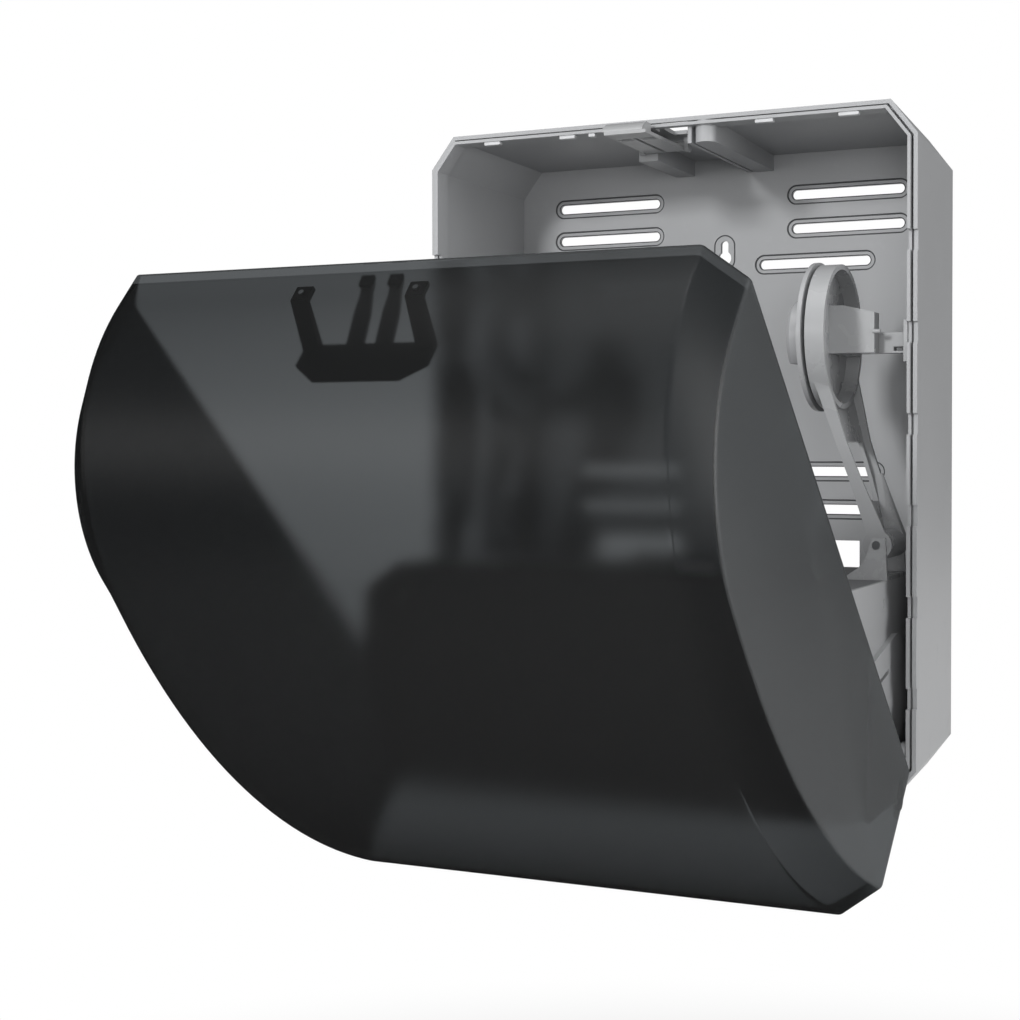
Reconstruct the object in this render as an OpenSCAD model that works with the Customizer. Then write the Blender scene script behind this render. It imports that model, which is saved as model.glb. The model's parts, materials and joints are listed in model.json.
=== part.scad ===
// Wall-mounted towel roll dispenser with a tinted drop-front cover, shown open
// Axes: X to the right, -Y towards the user, Z up, wall plane at Y = 0
// Z = 0 is the lower edge of the face that lies on the wall
// Heights are named from the rim's lower edge, which the draft puts a little below that edge
// All lengths are in millimetres

/* [Output] */
// Sub-part to draw
// Smoothness of round features
$fn = 48; // [32:4:64]

/* [Housing] */
// Width across the rim
body_w = 312; // [304:1:320]
// Height of the housing
body_h = 400; // [394:1:406]
// Depth from the wall plane to the rim
body_d = 119; // [116:1:122]
// Corner bevel, sideways
bevel_x = 15.5; // [14:0.5:17]
// Corner bevel, upwards
bevel_z = 20; // [18:0.5:22]
// Draft of each side at the wall plane
draft_x = 5.5; // [4.5:0.5:6.5]
// Draft of top and base at the wall plane
draft_z = 3; // [2:0.5:4]
// Thickness of the housing walls
wall = 2.4; // [2:0.1:2.8]
// Thickness of the back panel
back_t = 3; // [2.6:0.1:3.4]
// Thickness of the rim band
rim_t = 5.5; // [5:0.1:6]
// Depth of the rim band
rim_d = 10; // [8:0.5:12]
// Thickness of the outer lip
lip_t = 1.5; // [1.2:0.1:1.8]
// Width of the groove between the lips
groove_w = 2.2; // [1.9:0.1:2.5]
// Depth of the groove
groove_d = 6; // [5:0.5:7]
// How far the inner lip stands proud of the rim
lip_proud = 2.5; // [2:0.1:3]
// Length of a notch in the inner lip
notch_l = 12; // [10:0.5:14]
// Depth of a notch in the inner lip
notch_d = 5; // [4:0.5:6]
// Notches on each side
notch_n = 6; // [4:1:6]
// Height of the lowest side notch
notch_low = 61; // [56:1:66]
// Distance of the highest side notch below the roof
notch_high = 80; // [76:1:84]
// Sideways places of the top notches
notch_top_x = [64, 114];

/* [Wall openings] */
// Length of a screw slot, end to end
slot_l = 74; // [70:1:76]
// Half width of a screw slot
slot_r = 3; // [2.6:0.1:3.4]
// Half width of the dished border of a slot
slot_rim_r = 6.5; // [6:0.1:7]
// Depth of the dished border of a slot
slot_dish = 0.8; // [0.6:0.1:1]
// Half spacing of the upper slots
slot_up_x = 83.5; // [82:0.5:85]
// Distance of the top pair of slots below the roof
slot_top = 32; // [30:1:34]
// Drop from the top pair to the second pair
slot_drop = 22; // [20:0.5:24]
// Half spacing of the third pair of slots
slot_mid_x = 61.5; // [60:0.5:63]
// Drop from the top pair to the third pair
slot_mid_drop = 44.5; // [43:0.5:46]
// Half spacing of the lower slots
slot_low_x = 68; // [66:0.5:70]
// Height of the upper row of the lower slots
slot_low_z = 188; // [186:1:190]
// Drop between the two lower rows
slot_low_drop = 24.5; // [23:0.5:26]
// Distance of the keyhole's head below the roof
key_top = 71; // [69:1:73]
// Radius of the keyhole's head
key_r = 4.6; // [4.2:0.1:5]
// Length of the keyhole's neck
key_l = 9; // [8:0.5:10]
// Half width of the keyhole's neck
key_neck = 2.6; // [2.4:0.1:2.8]
// Inner edge of a cable window
window_in = 30; // [28:1:32]
// Distance of a cable window's outer edge from the module's side plate
window_inset = 27; // [25:1:29]
// Base of a cable window
window_low = 96; // [94:1:98]
// Top of a cable window
window_top = 143.5; // [142:0.5:145]

/* [Housing ribs and lugs] */
// Inner edge of a roof rib
rib_in = 21; // [20:0.5:22]
// Outer edge of a roof rib
rib_out = 34; // [33:0.5:35]
// How far a roof rib hangs down
rib_h = 13; // [12:0.5:14]
// Setback of the left rib's front end from the rim
rib_back = 50; // [48:1:52]
// Width of the key opening in the roof
roof_gap_w = 21; // [19:0.5:22]
// Left edge of the key opening in the roof
roof_gap_x = -4; // [-5:0.5:-3]
// Setback of the key opening's front from the rim
roof_gap_front = 2.5; // [2:0.5:3]
// Setback of the key opening's step from the rim
roof_gap_mid = 34; // [32:0.5:36]
// Setback of the key opening's back from the rim
roof_gap_back = 60; // [56:1:62]
// Thickness of the small fence beside the key opening
fence_t = 2.4; // [2:0.1:2.8]
// Radius of the screw pillars behind the drive module
pillar_r = 6; // [5.5:0.1:6.5]

/* [Cover] */
// Opening angle of the cover as shown
open_angle = 49; // [48:0.5:49]
// Distance of the hinge in front of the rim
hinge_out = 25; // [24.5:0.5:26]
// Height of the hinge
hinge_up = 9; // [8.5:0.5:10]
// Gap between the rim and the cover's rear edge
seam = 1.5; // [1.2:0.1:1.8]
// Extra gap at the foot of the rear edge
seam_foot = 6.5; // [6:0.5:7]
// Thickness of the cover
cover_t = 2.6; // [2.3:0.1:2.8]
// Radius of the shoulder between the bevels
front_r = 105.9; // [104:0.1:108]
// Distance of the shoulder's centre in front of the rim
front_y = 22; // [21:0.5:23]
// Sweep of the shoulder
front_a = 72.7; // [72:0.1:73.4]
// Distance of the front's lower edge in front of the rim
front_toe = 109.6; // [109:0.1:110.4]
// Height of the front's lower edge
front_low = 35.8; // [35:0.1:37]
// Radius of the shoulder at the side faces
side_r = 82.7; // [81:0.1:84]
// Distance of the side shoulder's centre in front of the rim
side_y = 32.3; // [31.5:0.1:33]
// Sweep of the side shoulder
side_a = 79.8; // [79:0.1:80.6]
// Distance of the side's lower front corner in front of the rim
side_toe = 85.9; // [85.4:0.1:86.6]
// Height of the side's lower front corner
side_low = 23.8; // [23:0.1:25]
// Height of the side's lower rear corner
side_foot = 10; // [9.5:0.5:11]
// Height of the thick flange along the lower front edge
flange_h = 12; // [10:0.5:14]
// Thickness of that flange
flange_t = 5; // [4.6:0.1:5.4]
// Radius of the hinge ear
ear_r = 6; // [5.6:0.1:6.4]
// Thickness of the hinge ear
ear_t = 3; // [2.8:0.1:3.2]
// Radius of the stop peg beside the ear
peg_r = 1.8; // [1.6:0.1:2]
// Distance of the stop peg from the hinge
peg_reach = 11; // [10.8:0.1:11.4]

/* [Hinge] */
// Radius of the hinge pins
pin_r = 3; // [2.8:0.1:3.2]
// Radius of the hinge lug
lug_r = 7.5; // [7.2:0.1:7.8]
// Thickness of the hinge lug
lug_t = 3.6; // [3.4:0.1:3.8]
// Side gap between lug and ear
lug_gap = 0.4; // [0.35:0.05:0.5]
// Height of the lug's root above the base
lug_root = 19; // [18.5:0.5:20]
// Height of the root's contact on the rim
lug_root_h = 16; // [14:0.5:18]
// Radius of the stop toe on the lug
toe_r = 2.5; // [2.3:0.1:2.7]
// Direction of the stop toe, from the rear
toe_dir = 215; // [214:0.5:216]
// Running clearance of pins
run = 0.05; // [0.03:0.01:0.09]

/* [Catch and latch] */
// Sideways place of the catch
catch_x = -14; // [-15:0.5:-13]
// Half width of the catch plate
catch_hw = 33; // [32:0.5:34]
// Distance of the catch plate's underside below the roof, cover closed
catch_drop = 26; // [25:0.5:27]
// Thickness of the catch plate and prongs
catch_t = 2.4; // [2.2:0.1:2.6]
// Rear edge of the catch plate, from the rim
catch_rear = 28; // [27:0.5:29]
// Front edge of the catch plate, from the rim
catch_front = 49; // [48:0.5:50]
// Width of the tabs that hold the catch
tab_w = 8.5; // [8:0.5:9]
// Half spacing of the prongs
prong_x = 7.3; // [7:0.1:7.6]
// Width of a prong
prong_w = 8; // [7.5:0.1:8.5]
// Distance of the prong tips behind the rim
prong_end = 1; // [0.5:0.1:1.5]
// Distance of the prongs' tips below the roof, cover closed
prong_drop = 15; // [14.8:0.1:15.4]
// Height of the hooks above the prongs
hook_h = 2; // [1.8:0.1:2.1]
// Length of a hook
hook_l = 5; // [4.6:0.1:5.4]
// Width of a hook
hook_w = 6.5; // [6:0.1:7]
// Distance of the raised latch plate's underside below the roof
latch_drop = 11.5; // [11.2:0.1:11.5]
// Thickness of the latch plate
latch_t = 2; // [1.8:0.1:2.2]
// Width of a latch arm
latch_arm_w = 12; // [11:0.5:12.5]
// Front edge of the latch, in front of the rim
latch_front = 21; // [20:0.5:22]
// Length of the latch's front bar
latch_bar = 15; // [14:0.5:16]
// Distance of the latch pivot behind the rim
latch_pivot = 45; // [44:0.5:46]
// Radius of the latch pivot pin
latch_pin_r = 1.6; // [1.5:0.1:1.8]
// Width of the ears that hold the latch
ear_w = 2.6; // [2.4:0.1:2.8]
// Radius of the latch's pivot barrel
latch_barrel_r = 3; // [2.9:0.1:3.2]
// Width of the latch head
head_w = 26; // [25:0.5:27]
// Offset of the latch head to the left
head_off = 2; // [1.5:0.5:2.5]
// Height of the latch head above the plate
head_h = 5.9; // [5.6:0.1:6]
// Clearance round a hook in its window
hook_gap = 1.2; // [1:0.1:1.4]

/* [Roll holder] */
// Height of the roll axis
hub_z = 267; // [265:1:269]
// Distance of the roll axis from the wall plane
hub_y = 112; // [111:0.5:113]
// Length of a plug, from its tip to the flange disc
plug_l = 13; // [12:0.5:14]
// Radius of a plug
plug_r = 22; // [21.5:0.1:22.5]
// Flat cut below the plug's axis
plug_flat = 15.5; // [15:0.1:16]
// Distance from the flange disc's inner face to the arm's cup
disc_gap = 4.5; // [4:0.1:5]
// Thickness of a flange disc
disc_t = 2.5; // [2.3:0.1:2.7]
// Radius of a flange disc
disc_r = 43; // [42.5:0.1:43.5]
// Distance of the cup's inner face inward of the arm's pivot
cup_inset = 30.5; // [30:0.1:31]
// Depth of a cup
cup_w = 11; // [10.5:0.1:11.5]
// Radius of a cup
cup_r = 41.5; // [41:0.1:42]
// Wall of a cup
cup_t = 3; // [2.8:0.1:3.2]
// Floor of a cup
cup_floor = 2.5; // [2.3:0.1:2.7]
// Radius of a hub axle
axle_r = 4; // [3.8:0.1:4.2]
// Distance of an arm's pivot inward of the module's side
pivot_inset = 7; // [6.8:0.1:7.2]
// Height of an arm's pivot
pivot_z = 147; // [146:0.5:148]
// Depth of an arm's channel
arm_deep = 8.6; // [8.2:0.1:9]
// Thickness of an arm's rails and web
arm_t = 2.4; // [2.2:0.1:2.6]
// Radius of an arm's rounded foot
foot_r = 8.5; // [8.2:0.1:8.8]
// Radius of an arm's pivot pin
arm_pin_r = 2.5; // [2.3:0.1:2.7]
// Front face of an arm's foot, from the wall plane
arm_front = 110.2; // [110:0.1:110.4]
// Rear face of an arm's foot, from the wall plane
arm_rear = 69.4; // [69.2:0.1:69.6]
// Heights of the arm's outline points above the pivot
arm_level_shares = [0, 0.06, 0.243, 0.389, 0.583, 0.855, 1];
// Forward reach of the front rail at those points
arm_front_shares = [0, 0, 0.13, 0.245, 0.47, 0.745, 0.96];
// Rearward reach of the rear rail at those points
arm_rear_shares = [0, 0, 0.035, 0, -0.09, -0.07, -0.12];
// Depth of the channel at those points
arm_deep_shares = [1.25, 1.2, 0.95, 0.76, 0.72, 0.85, 1];
// Forward reach of the rails at the cup
arm_reach = 40; // [39:0.5:41]
// Side gap of an arm in its base
arm_gap = 0.35; // [0.3:0.05:0.4]
// Thickness of an arm base's plates
base_t = 2.4; // [2.2:0.1:2.6]
// Outline of an arm base, across
base_x_shares = [0, 0.28, 0.44, 0.53, 0.6, 0.95, 1];
// Outline of an arm base, up
base_z_shares = [0.1, 0.28, 0.48, 0.72, 1, 1, 0];
// Width of an arm base
base_w = 23.6; // [23:0.1:24]
// Distance of an arm base inward of the module's side
base_inset = 0.4; // [0.3:0.1:0.6]
// Turns of the arm return spring
spring_turns = 5; // [4:1:6]
// Wire radius of the springs
wire_r = 0.8; // [0.7:0.05:0.9]

/* [Roll stay] */
// Gap between the cup and the stay's beam at rest
stay_gap = 5.4; // [5.3:0.1:5.8]
// How far the nose block stands out of the cup
nose_l = 18.5; // [18:0.5:19]
// Front face of the nose block, from the wall plane
stay_front = 114; // [113.5:0.5:114.5]
// Depth of the nose block
stay_d = 11; // [10:0.5:12]
// Underside of the nose block and the beam
stay_low = 257.5; // [257:0.5:258]
// Height of the nose block at its inner end
stay_h = 27.5; // [27:0.5:28]
// Height of the nose block at its outer end
stay_h_out = 23; // [22:0.5:24]
// Height of the stay beam
beam_h = 12; // [11:0.5:13]
// Depth of the stay beam
beam_d = 8; // [7:0.5:9]
// Height of the stay's end plate
end_h = 24; // [23:0.5:25]
// Thickness of the stay's end plate
end_t = 2.4; // [2.2:0.1:2.6]
// Radius of the nose block's pin and half height of the beam's slit
stay_pin_r = 1.2; // [1.1:0.1:1.3]

/* [Drive module] */
// Gap between the rim's side and the module
mod_gap = 18; // [17.8:0.1:18.4]
// Base of the module
mod_low = 6; // [6:0.1:6.4]
// Top of the chassis
mod_top = 127; // [126:0.5:127.5]
// Rear face of the chassis, from the wall plane
mod_rear = 10; // [9.5:0.5:10.5]
// Front end of the chassis roof, from the wall plane
mod_mid = 195; // [194.5:0.5:195.5]
// Thickness of the module's walls
mod_t = 2.4; // [2.2:0.1:2.6]
// Room from a side plate's inner face to the module's side
gear_room = 19; // [18.8:0.1:19.2]
// Thickness of a chassis side plate
plate_t = 3; // [2.8:0.1:3.2]
// Front end of the side plates, from the wall plane
plate_front = 209; // [208.5:0.1:209.5]
// Thickness of a side cover
side_t = 2.4; // [2.2:0.1:2.6]
// How far the side cover's panel is raised
panel_h = 3; // [2.6:0.1:3.2]
// Half height of the raised panel
panel_r = 30; // [29.6:0.1:30.4]
// Corner radius of the raised panel
panel_c = 16; // [15:0.5:17]
// Front reach of the panel from the roller axis
panel_front = 10.5; // [10:0.5:11]
// Rear reach of the panel from the roller axis
panel_rear = 94; // [93:0.5:95]
// Top of the front cover
face_top = 137; // [136:0.5:137.5]
// Foremost reach of the front cover, from the wall plane
face_y = 229; // [228.5:0.1:229.5]
// Height of the foremost line of the front cover
face_z = 105; // [103:1:107]
// Radius of the front cover's curve
face_r = 240; // [236:1:244]
// Corner slant of the front cover, sideways
slant_x = 20; // [19:0.5:21]
// Corner slant of the front cover, upwards
slant_z = 15; // [14:0.5:16]
// Rear edge of the front cover's top, from the wall plane
feed_lip = 206; // [205.5:0.1:206.5]
// Rear edge of the front cover's base, from the wall plane
exit_lip = 197; // [196.8:0.1:197.2]
// Height of the exit lip
exit_h = 8; // [7.5:0.1:8.5]
// Distance of the feed slot's ends inward of the side plates
feed_inset = 15; // [14:0.5:16]
// Depth of the chassis base rail
rail_d = 10; // [9.5:0.1:10.5]
// Height of the chassis base rail
rail_h = 8; // [7.5:0.5:8.5]

/* [Rollers and gears] */
// Distance of the drive roller from the wall plane
roller_y = 175; // [174.8:0.1:175.2]
// Height of the drive roller
roller_z = 50; // [49.8:0.1:50.2]
// Radius of the drive roller
roller_r = 15; // [14.9:0.1:15.1]
// Radius of the drive shaft
shaft_r = 4; // [3.8:0.1:4.2]
// Gap between neighbouring roller sleeves
sleeve_gap = 14; // [13:0.5:16]
// Distance of the outer sleeves' ends inward of the side plates
sleeve_inset = 21; // [20:0.5:22]
// Radius of the pinch rollers
pinch_r = 9; // [8.9:0.1:9.1]
// Gap between the rollers for the paper
nip = 0.3; // [0.3:0.05:0.4]
// Radius of the pinch shaft
pinch_shaft_r = 2.5; // [2.4:0.1:2.6]
// Radius of the shaft bushes
bush_r = 7; // [6.8:0.1:7.2]
// Tooth module of the gears
tooth = 1.5; // [1.49:0.005:1.51]
// Width of the gears
gear_w = 6; // [5.8:0.1:6.2]
// Gap between side plate and gears
gear_gap = 0.6; // [0.5:0.1:0.8]
// Tilt of the gear train
train_tilt = 12; // [11.5:0.5:12.5]
// Tooth thinning for free running
backlash = 0.3; // [0.26:0.02:0.36]
// Radius of the idler pin
idler_pin_r = 3; // [2.9:0.1:3.1]
// Radius of the motor
motor_r = 14; // [13.6:0.1:14.4]
// Length of the motor
motor_l = 52; // [50:0.5:54]
// Radius of the motor shaft
motor_shaft_r = 2; // [1.9:0.1:2.1]
// Clear radius of the motor shaft's hole
motor_hole_r = 5; // [4.8:0.1:5.2]
// Distance of the carrier pivot from the wall plane
swing_y = 203; // [202.8:0.1:203.2]
// Height of the carrier pivot
swing_z = 82; // [81.5:0.5:82.5]
// Distance of the carrier's arms inward of the side plates
swing_inset = 7; // [6.6:0.1:7.4]
// Thickness of the carrier's arms
swing_t = 3; // [2.8:0.1:3.2]
// Radius of the carrier's eyes
eye_r = 6; // [5.8:0.1:6.2]
// Radius of the carrier's pivot pins
swing_pin_r = 2.5; // [2.4:0.1:2.6]
// Height of the carrier's cross bar
bar_h = 13; // [12:0.5:14]
// Distance of the cross bar's front face from the wall plane
bar_y = 212; // [211.8:0.1:212.2]
// Sideways place of the pinch springs
press_x = 60; // [58:1:62]
// Width of the pinch springs
press_w = 10; // [9:0.5:11]
// Thickness of the pinch springs
leaf_t = 0.6; // [0.5:0.05:0.7]

/* [Power and control] */
// Radius of a battery cell
cell_r = 16.5; // [16.3:0.1:16.7]
// Length of a battery cell's body
cell_l = 58.5; // [58:0.1:59]
// Radius of a cell's button
nub_r = 4.6; // [4.4:0.1:4.8]
// Length of a cell's button
nub_l = 1.5; // [1.4:0.1:1.6]
// Gap between neighbouring cells
cell_gap = 2.4; // [2:0.1:2.8]
// Clearance of the cells in their bay
bay_gap = 1; // [0.8:0.1:1.2]
// Thickness of the bay's walls
bay_t = 2; // [1.8:0.1:2.2]
// Rear inner face of the bay, from the wall plane
bay_rear = 30; // [29:0.5:31]
// Thickness of the contact plates
contact_t = 1; // [0.9:0.05:1.1]
// Half width of the contact plates
contact_hw = 7; // [6.5:0.1:7.5]
// Thickness of the battery lid
lid_t = 2.2; // [2:0.1:2.4]
// Radius of the lid's hinge barrel
barrel_r = 3; // [2.9:0.1:3.1]
// Radius of the lid's pin
lid_pin_r = 1.5; // [1.4:0.1:1.6]
// Length of a lid hinge ear
lid_ear = 5; // [4.6:0.1:5.4]
// Finger recess of the lid, half width
grip_hw = 12; // [11:0.5:13]
// Width of the control board
board_w = 46; // [44:1:48]
// Height of the control board
board_h = 70; // [68:1:72]
// Thickness of the control board
board_t = 1.6; // [1.5:0.1:1.7]
// Distance of the board's rear face from the wall plane
board_y = 58; // [57:0.5:59]
// Base of the board
board_low = 12; // [11:0.5:13]
// Half width of the feed button
button_hw = 9; // [8.5:0.1:9.5]
// Half depth of the feed button
button_hd = 5; // [4.8:0.1:5.2]
// Sideways place of the feed button
button_x = 60; // [58:1:62]
// How far the button stands out
button_out = 3; // [2.8:0.1:3.2]
// Clearance round the buttons
button_gap = 0.35; // [0.3:0.05:0.4]
// Sideways place of the mode switch
switch_x = -60; // [-62:1:-58]
// Half width of the mode switch's knob
knob_hw = 3; // [2.8:0.1:3.2]
// Travel of the mode switch's knob
knob_travel = 5; // [4.8:0.1:5.2]
// Radius of the hand sensor's window
eye_window_r = 4; // [3.8:0.1:4.2]
// Sideways place of the hand sensor
sensor_x = -28; // [-30:1:-26]
// Radius of the indicator lens
lamp_r = 1.8; // [1.7:0.1:1.9]

/* [Fasteners] */
// Thread radius of the large screws
screw_r = 2; // [1.9:0.1:2.1]
// Head radius of the large screws
head_r = 4; // [3.8:0.1:4.2]
// Head height of the large screws
head_t = 2.4; // [2.2:0.1:2.6]
// Length of the large screws
screw_l = 12; // [11.5:0.5:12.5]
// Thread radius of the small screws
small_r = 1.3; // [1.2:0.1:1.4]
// Head radius of the small screws
small_head_r = 2.6; // [2.4:0.1:2.8]
// Head height of the small screws
small_head_t = 1.6; // [1.5:0.1:1.7]
// Length of the small screws
small_l = 7; // [6.6:0.1:7.4]
// Height of small collars, steps and ribs
step_h = 1; // [0.8:0.1:1.1]

/* [Hidden] */
// Overrun of every cut
over = 1;
upright = 90;
foot_cut = 3 * over;
skin_share = 0.04;
skin = skin_share * cover_t;
bevel_l = sqrt(bevel_x * bevel_x + bevel_z * bevel_z);
hinge_y = -(body_d + hinge_out);
half_w = body_w / 2;
half_h = body_h / 2;
notch_pitch = (body_h - notch_high - notch_low) / (notch_n - 1);
slot_up_z = body_h - slot_top;
key_z = body_h - key_top;
catch_z = body_h - catch_drop;
prong_top = body_h - prong_drop;
latch_z = body_h - latch_drop;
mod_hw = half_w - mod_gap;
plate_in = mod_hw - gear_room;
window_out = plate_in - window_inset;
feed_hw = plate_in - feed_inset;
swing_out = plate_in - swing_inset;
pivot_x = mod_hw - pivot_inset;
base_out = mod_hw - base_inset;
base_in = base_out - base_w;
cup_in = pivot_x - cup_inset;
disc_in = cup_in - disc_gap;
plug_in = disc_in - plug_l;
arm_lean = atan(cup_inset / (hub_z - pivot_z));
sleeve_hl = (plate_in - sleeve_inset - sleeve_gap) / 3;
sleeve_pitch = 2 * sleeve_hl + sleeve_gap;
side_x = half_w;
front_x = half_w - bevel_x;
side_z = body_h - bevel_z;
cover_rear = -(body_d + seam);
ear_x = half_w - cover_t - ear_t;
lug_x = ear_x - lug_gap - lug_t;
roller_c = [-roller_y, roller_z];
roller_n = 28;
idler_n = 24;
pinion_n = 12;
idler_s = tooth * (roller_n + idler_n) / 2;
pinion_s = idler_s + tooth * (idler_n + pinion_n) / 2;
gear_x = plate_in + plate_t + gear_gap;
spoke_n = 6;
pinch_y = -(roller_y + roller_r + nip + pinch_r);
bay_hw = cell_l + nub_l + contact_t + bay_gap;
bay_d = 4 * cell_r + cell_gap + 2 * bay_gap;
bay_floor = mod_top - mod_t - 2 * cell_r - 2 * bay_gap;
cell_z = bay_floor + cell_r + nip;
cell_y1 = -(bay_rear + bay_gap + cell_r);
cell_y2 = cell_y1 - 2 * cell_r - cell_gap;
lid_y = -(bay_rear - bay_t - barrel_r);
lid_z = mod_top + barrel_r + button_gap;

// Sizes of the drafted housing at a distance from the wall plane
function sx(y) = 1 - draft_x * (1 - y / body_d) / half_w;
function sz(y) = 1 - draft_z * (1 - y / body_d) / half_h;
function in_bx(t) = bevel_x - t + t * (bevel_l - bevel_x) / bevel_z;
function in_bz(t) = bevel_z - t + t * (bevel_l - bevel_z) / bevel_x;
function in_w(t, y) = (half_w - t) * sx(y);
function in_top(t, y) = half_h + (half_h - t) * sz(y);
function in_low(t, y) = half_h - (half_h - t) * sz(y);

// Small helpers
module row() translate([0, 0, -draft_z]) children();
module along_x() rotate([90, 0, 90]) children();
module along_y() rotate([90, 0, 0]) children();
module x_rod(x0, x1, y, z, r) translate([x0, y, z]) rotate([0, 90, 0]) cylinder(h = x1 - x0, r = r);
module y_rod(x, y0, y1, z, r) translate([x, y0, z]) rotate([-90, 0, 0]) cylinder(h = y1 - y0, r = r);
module z_rod(x, y, z0, z1, r) translate([x, y, z0]) cylinder(h = z1 - z0, r = r);
module block(x0, x1, y0, y1, z0, z1) translate([x0, y0, z0]) cube([x1 - x0, y1 - y0, z1 - z0]);
module both() {
  children();
  mirror([1, 0, 0]) children();
}
module turned(y, z, a) translate([0, y, z]) rotate([a, 0, 0]) translate([0, -y, -z]) children();
module opened() turned(hinge_y, hinge_up, open_angle) children();

// Drafted eight-sided solid, set in by t, from y0 to y1 off the wall plane
module octagon(w, h, bx, bz) polygon([
  [bx - w, -h], [w - bx, -h], [w, bz - h], [w, h - bz],
  [w - bx, h], [bx - w, h], [-w, h - bz], [-w, bz - h]
]);
module drafted(t, y0, y1)
  translate([0, -y0, half_h]) along_y()
    linear_extrude(y1 - y0, scale = [sx(y1) / sx(y0), sz(y1) / sz(y0)], slices = 1)
      scale([sx(y0), sz(y0)]) octagon(half_w - t, half_h - t, in_bx(t), in_bz(t));

// Slot with round ends through the back panel
module slot_hole(x, z, r, y0, y1) {
  for (s = [-1, 1]) y_rod(x + s * (slot_l / 2 - slot_r), y0, y1, z, r);
  block(x - slot_l / 2 + slot_r, x + slot_l / 2 - slot_r, y0, y1, z - r, z + r);
}
module wall_slot(x, z) {
  slot_hole(x, z, slot_r, -back_t - over, over);
  slot_hole(x, z, slot_rim_r, -back_t - over, slot_dish - back_t);
}
module wall_slots() for (s = [-1, 1]) {
  wall_slot(s * slot_up_x, slot_up_z);
  wall_slot(s * slot_up_x, slot_up_z - slot_drop);
  wall_slot(s * slot_mid_x, slot_up_z - slot_mid_drop);
  wall_slot(s * slot_low_x, slot_low_z);
  wall_slot(s * slot_low_x, slot_low_z - slot_low_drop);
}
module keyhole() {
  y_rod(0, -back_t - over, over, key_z, key_r);
  y_rod(0, -back_t - over, over, key_z + key_l, key_neck);
  block(-key_neck, key_neck, -back_t - over, over, key_z, key_z + key_l);
}

// Screw pillars between the back panel and the drive module
pillar_x = plate_in - pillar_r - button_out;
pillar_z = [mod_low + pillar_r + pillar_r, mod_top - pillar_r - pillar_r];
module pillars(r, y0, y1) for (s = [-1, 1], z = pillar_z) y_rod(s * pillar_x, y0, y1, z, r);

// Hinge lug with its stop toe
module lug() {
  toe = [hinge_y + peg_reach * cos(toe_dir), hinge_up + peg_reach * sin(toe_dir)];
  hull() {
    x_rod(lug_x, lug_x + lug_t, hinge_y, hinge_up, lug_r);
    block(lug_x, lug_x + lug_t, -body_d, over - body_d, lug_root, lug_root + lug_root_h);
  }
  hull() {
    x_rod(lug_x, lug_x + lug_t, toe[0], toe[1], toe_r);
    x_rod(lug_x, lug_x + lug_t, hinge_y, hinge_up, toe_r);
  }
  block(lug_x, half_w - rim_t + over, -body_d, rim_d - body_d, lug_root, lug_root + lug_root_h);
}

// Ribs that hang from the roof
rib_low = in_top(wall, body_d) - rib_h;
gap_end = roof_gap_x + roof_gap_w;
module roof_rib(x0, x1, y) translate([x0, 0, 0]) along_x() linear_extrude(x1 - x0) polygon([
  [-y, rib_low], [-y, in_top(wall / 2, y)], [-back_t, in_top(wall / 2, back_t)], [-back_t, rib_low]]);

module back_housing() color("#9b9c9e") row() difference() {
  union() {
    difference() {
      drafted(0, 0, body_d);
      drafted(wall, back_t, body_d + over);
    }
    difference() {
      union() {
        drafted(0, body_d - rim_d, body_d);
        drafted(lip_t + groove_w, body_d - over, body_d + lip_proud);
      }
      drafted(rim_t, body_d - rim_d - over, body_d + lip_proud + over);
      difference() {
        drafted(lip_t, body_d - groove_d, body_d + over);
        drafted(lip_t + groove_w, body_d - groove_d - over, body_d + over + over);
      }
    }
    nose_r = (rib_out - rib_in) / 2;
    roof_rib(rib_in, rib_out, body_d - nose_r);
    z_rod(rib_in + nose_r, nose_r - body_d, rib_low, in_top(wall / 2, body_d - nose_r), nose_r);
    roof_rib(-rib_out, -rib_in, body_d - rib_back);
    roof_rib(gap_end, gap_end + fence_t, body_d - roof_gap_front);
    latch_ears();
    pillars(pillar_r, -mod_rear, -back_t + over / 2);
    both() lug();
  }
  wall_slots();
  keyhole();
  both() block(window_in, window_out, -back_t - over, over, window_low, window_top);
  for (s = [-1, 1], i = [0:notch_n - 1])
    block(s * half_w - rim_t - over, s * half_w + rim_t + over, -body_d - lip_proud - over,
      -body_d - lip_proud + notch_d, notch_low + i * notch_pitch - notch_l / 2,
      notch_low + i * notch_pitch + notch_l / 2);
  block(roof_gap_x, gap_end, roof_gap_front - body_d, roof_gap_mid - body_d, body_h - rim_t - over, body_h + over);
  block(latch_right + 2 * ear_w, gap_end, roof_gap_front - body_d, roof_gap_back - body_d,
    body_h - rim_t - over, body_h + over);
  both() x_rod(lug_x - over, ear_x, hinge_y, hinge_up, pin_r);
  pillars(screw_r, -mod_rear - over, -back_t);
  x_rod(latch_left - ear_w - over, latch_right + ear_w + over, latch_y, latch_c, latch_pin_r);
}

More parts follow.
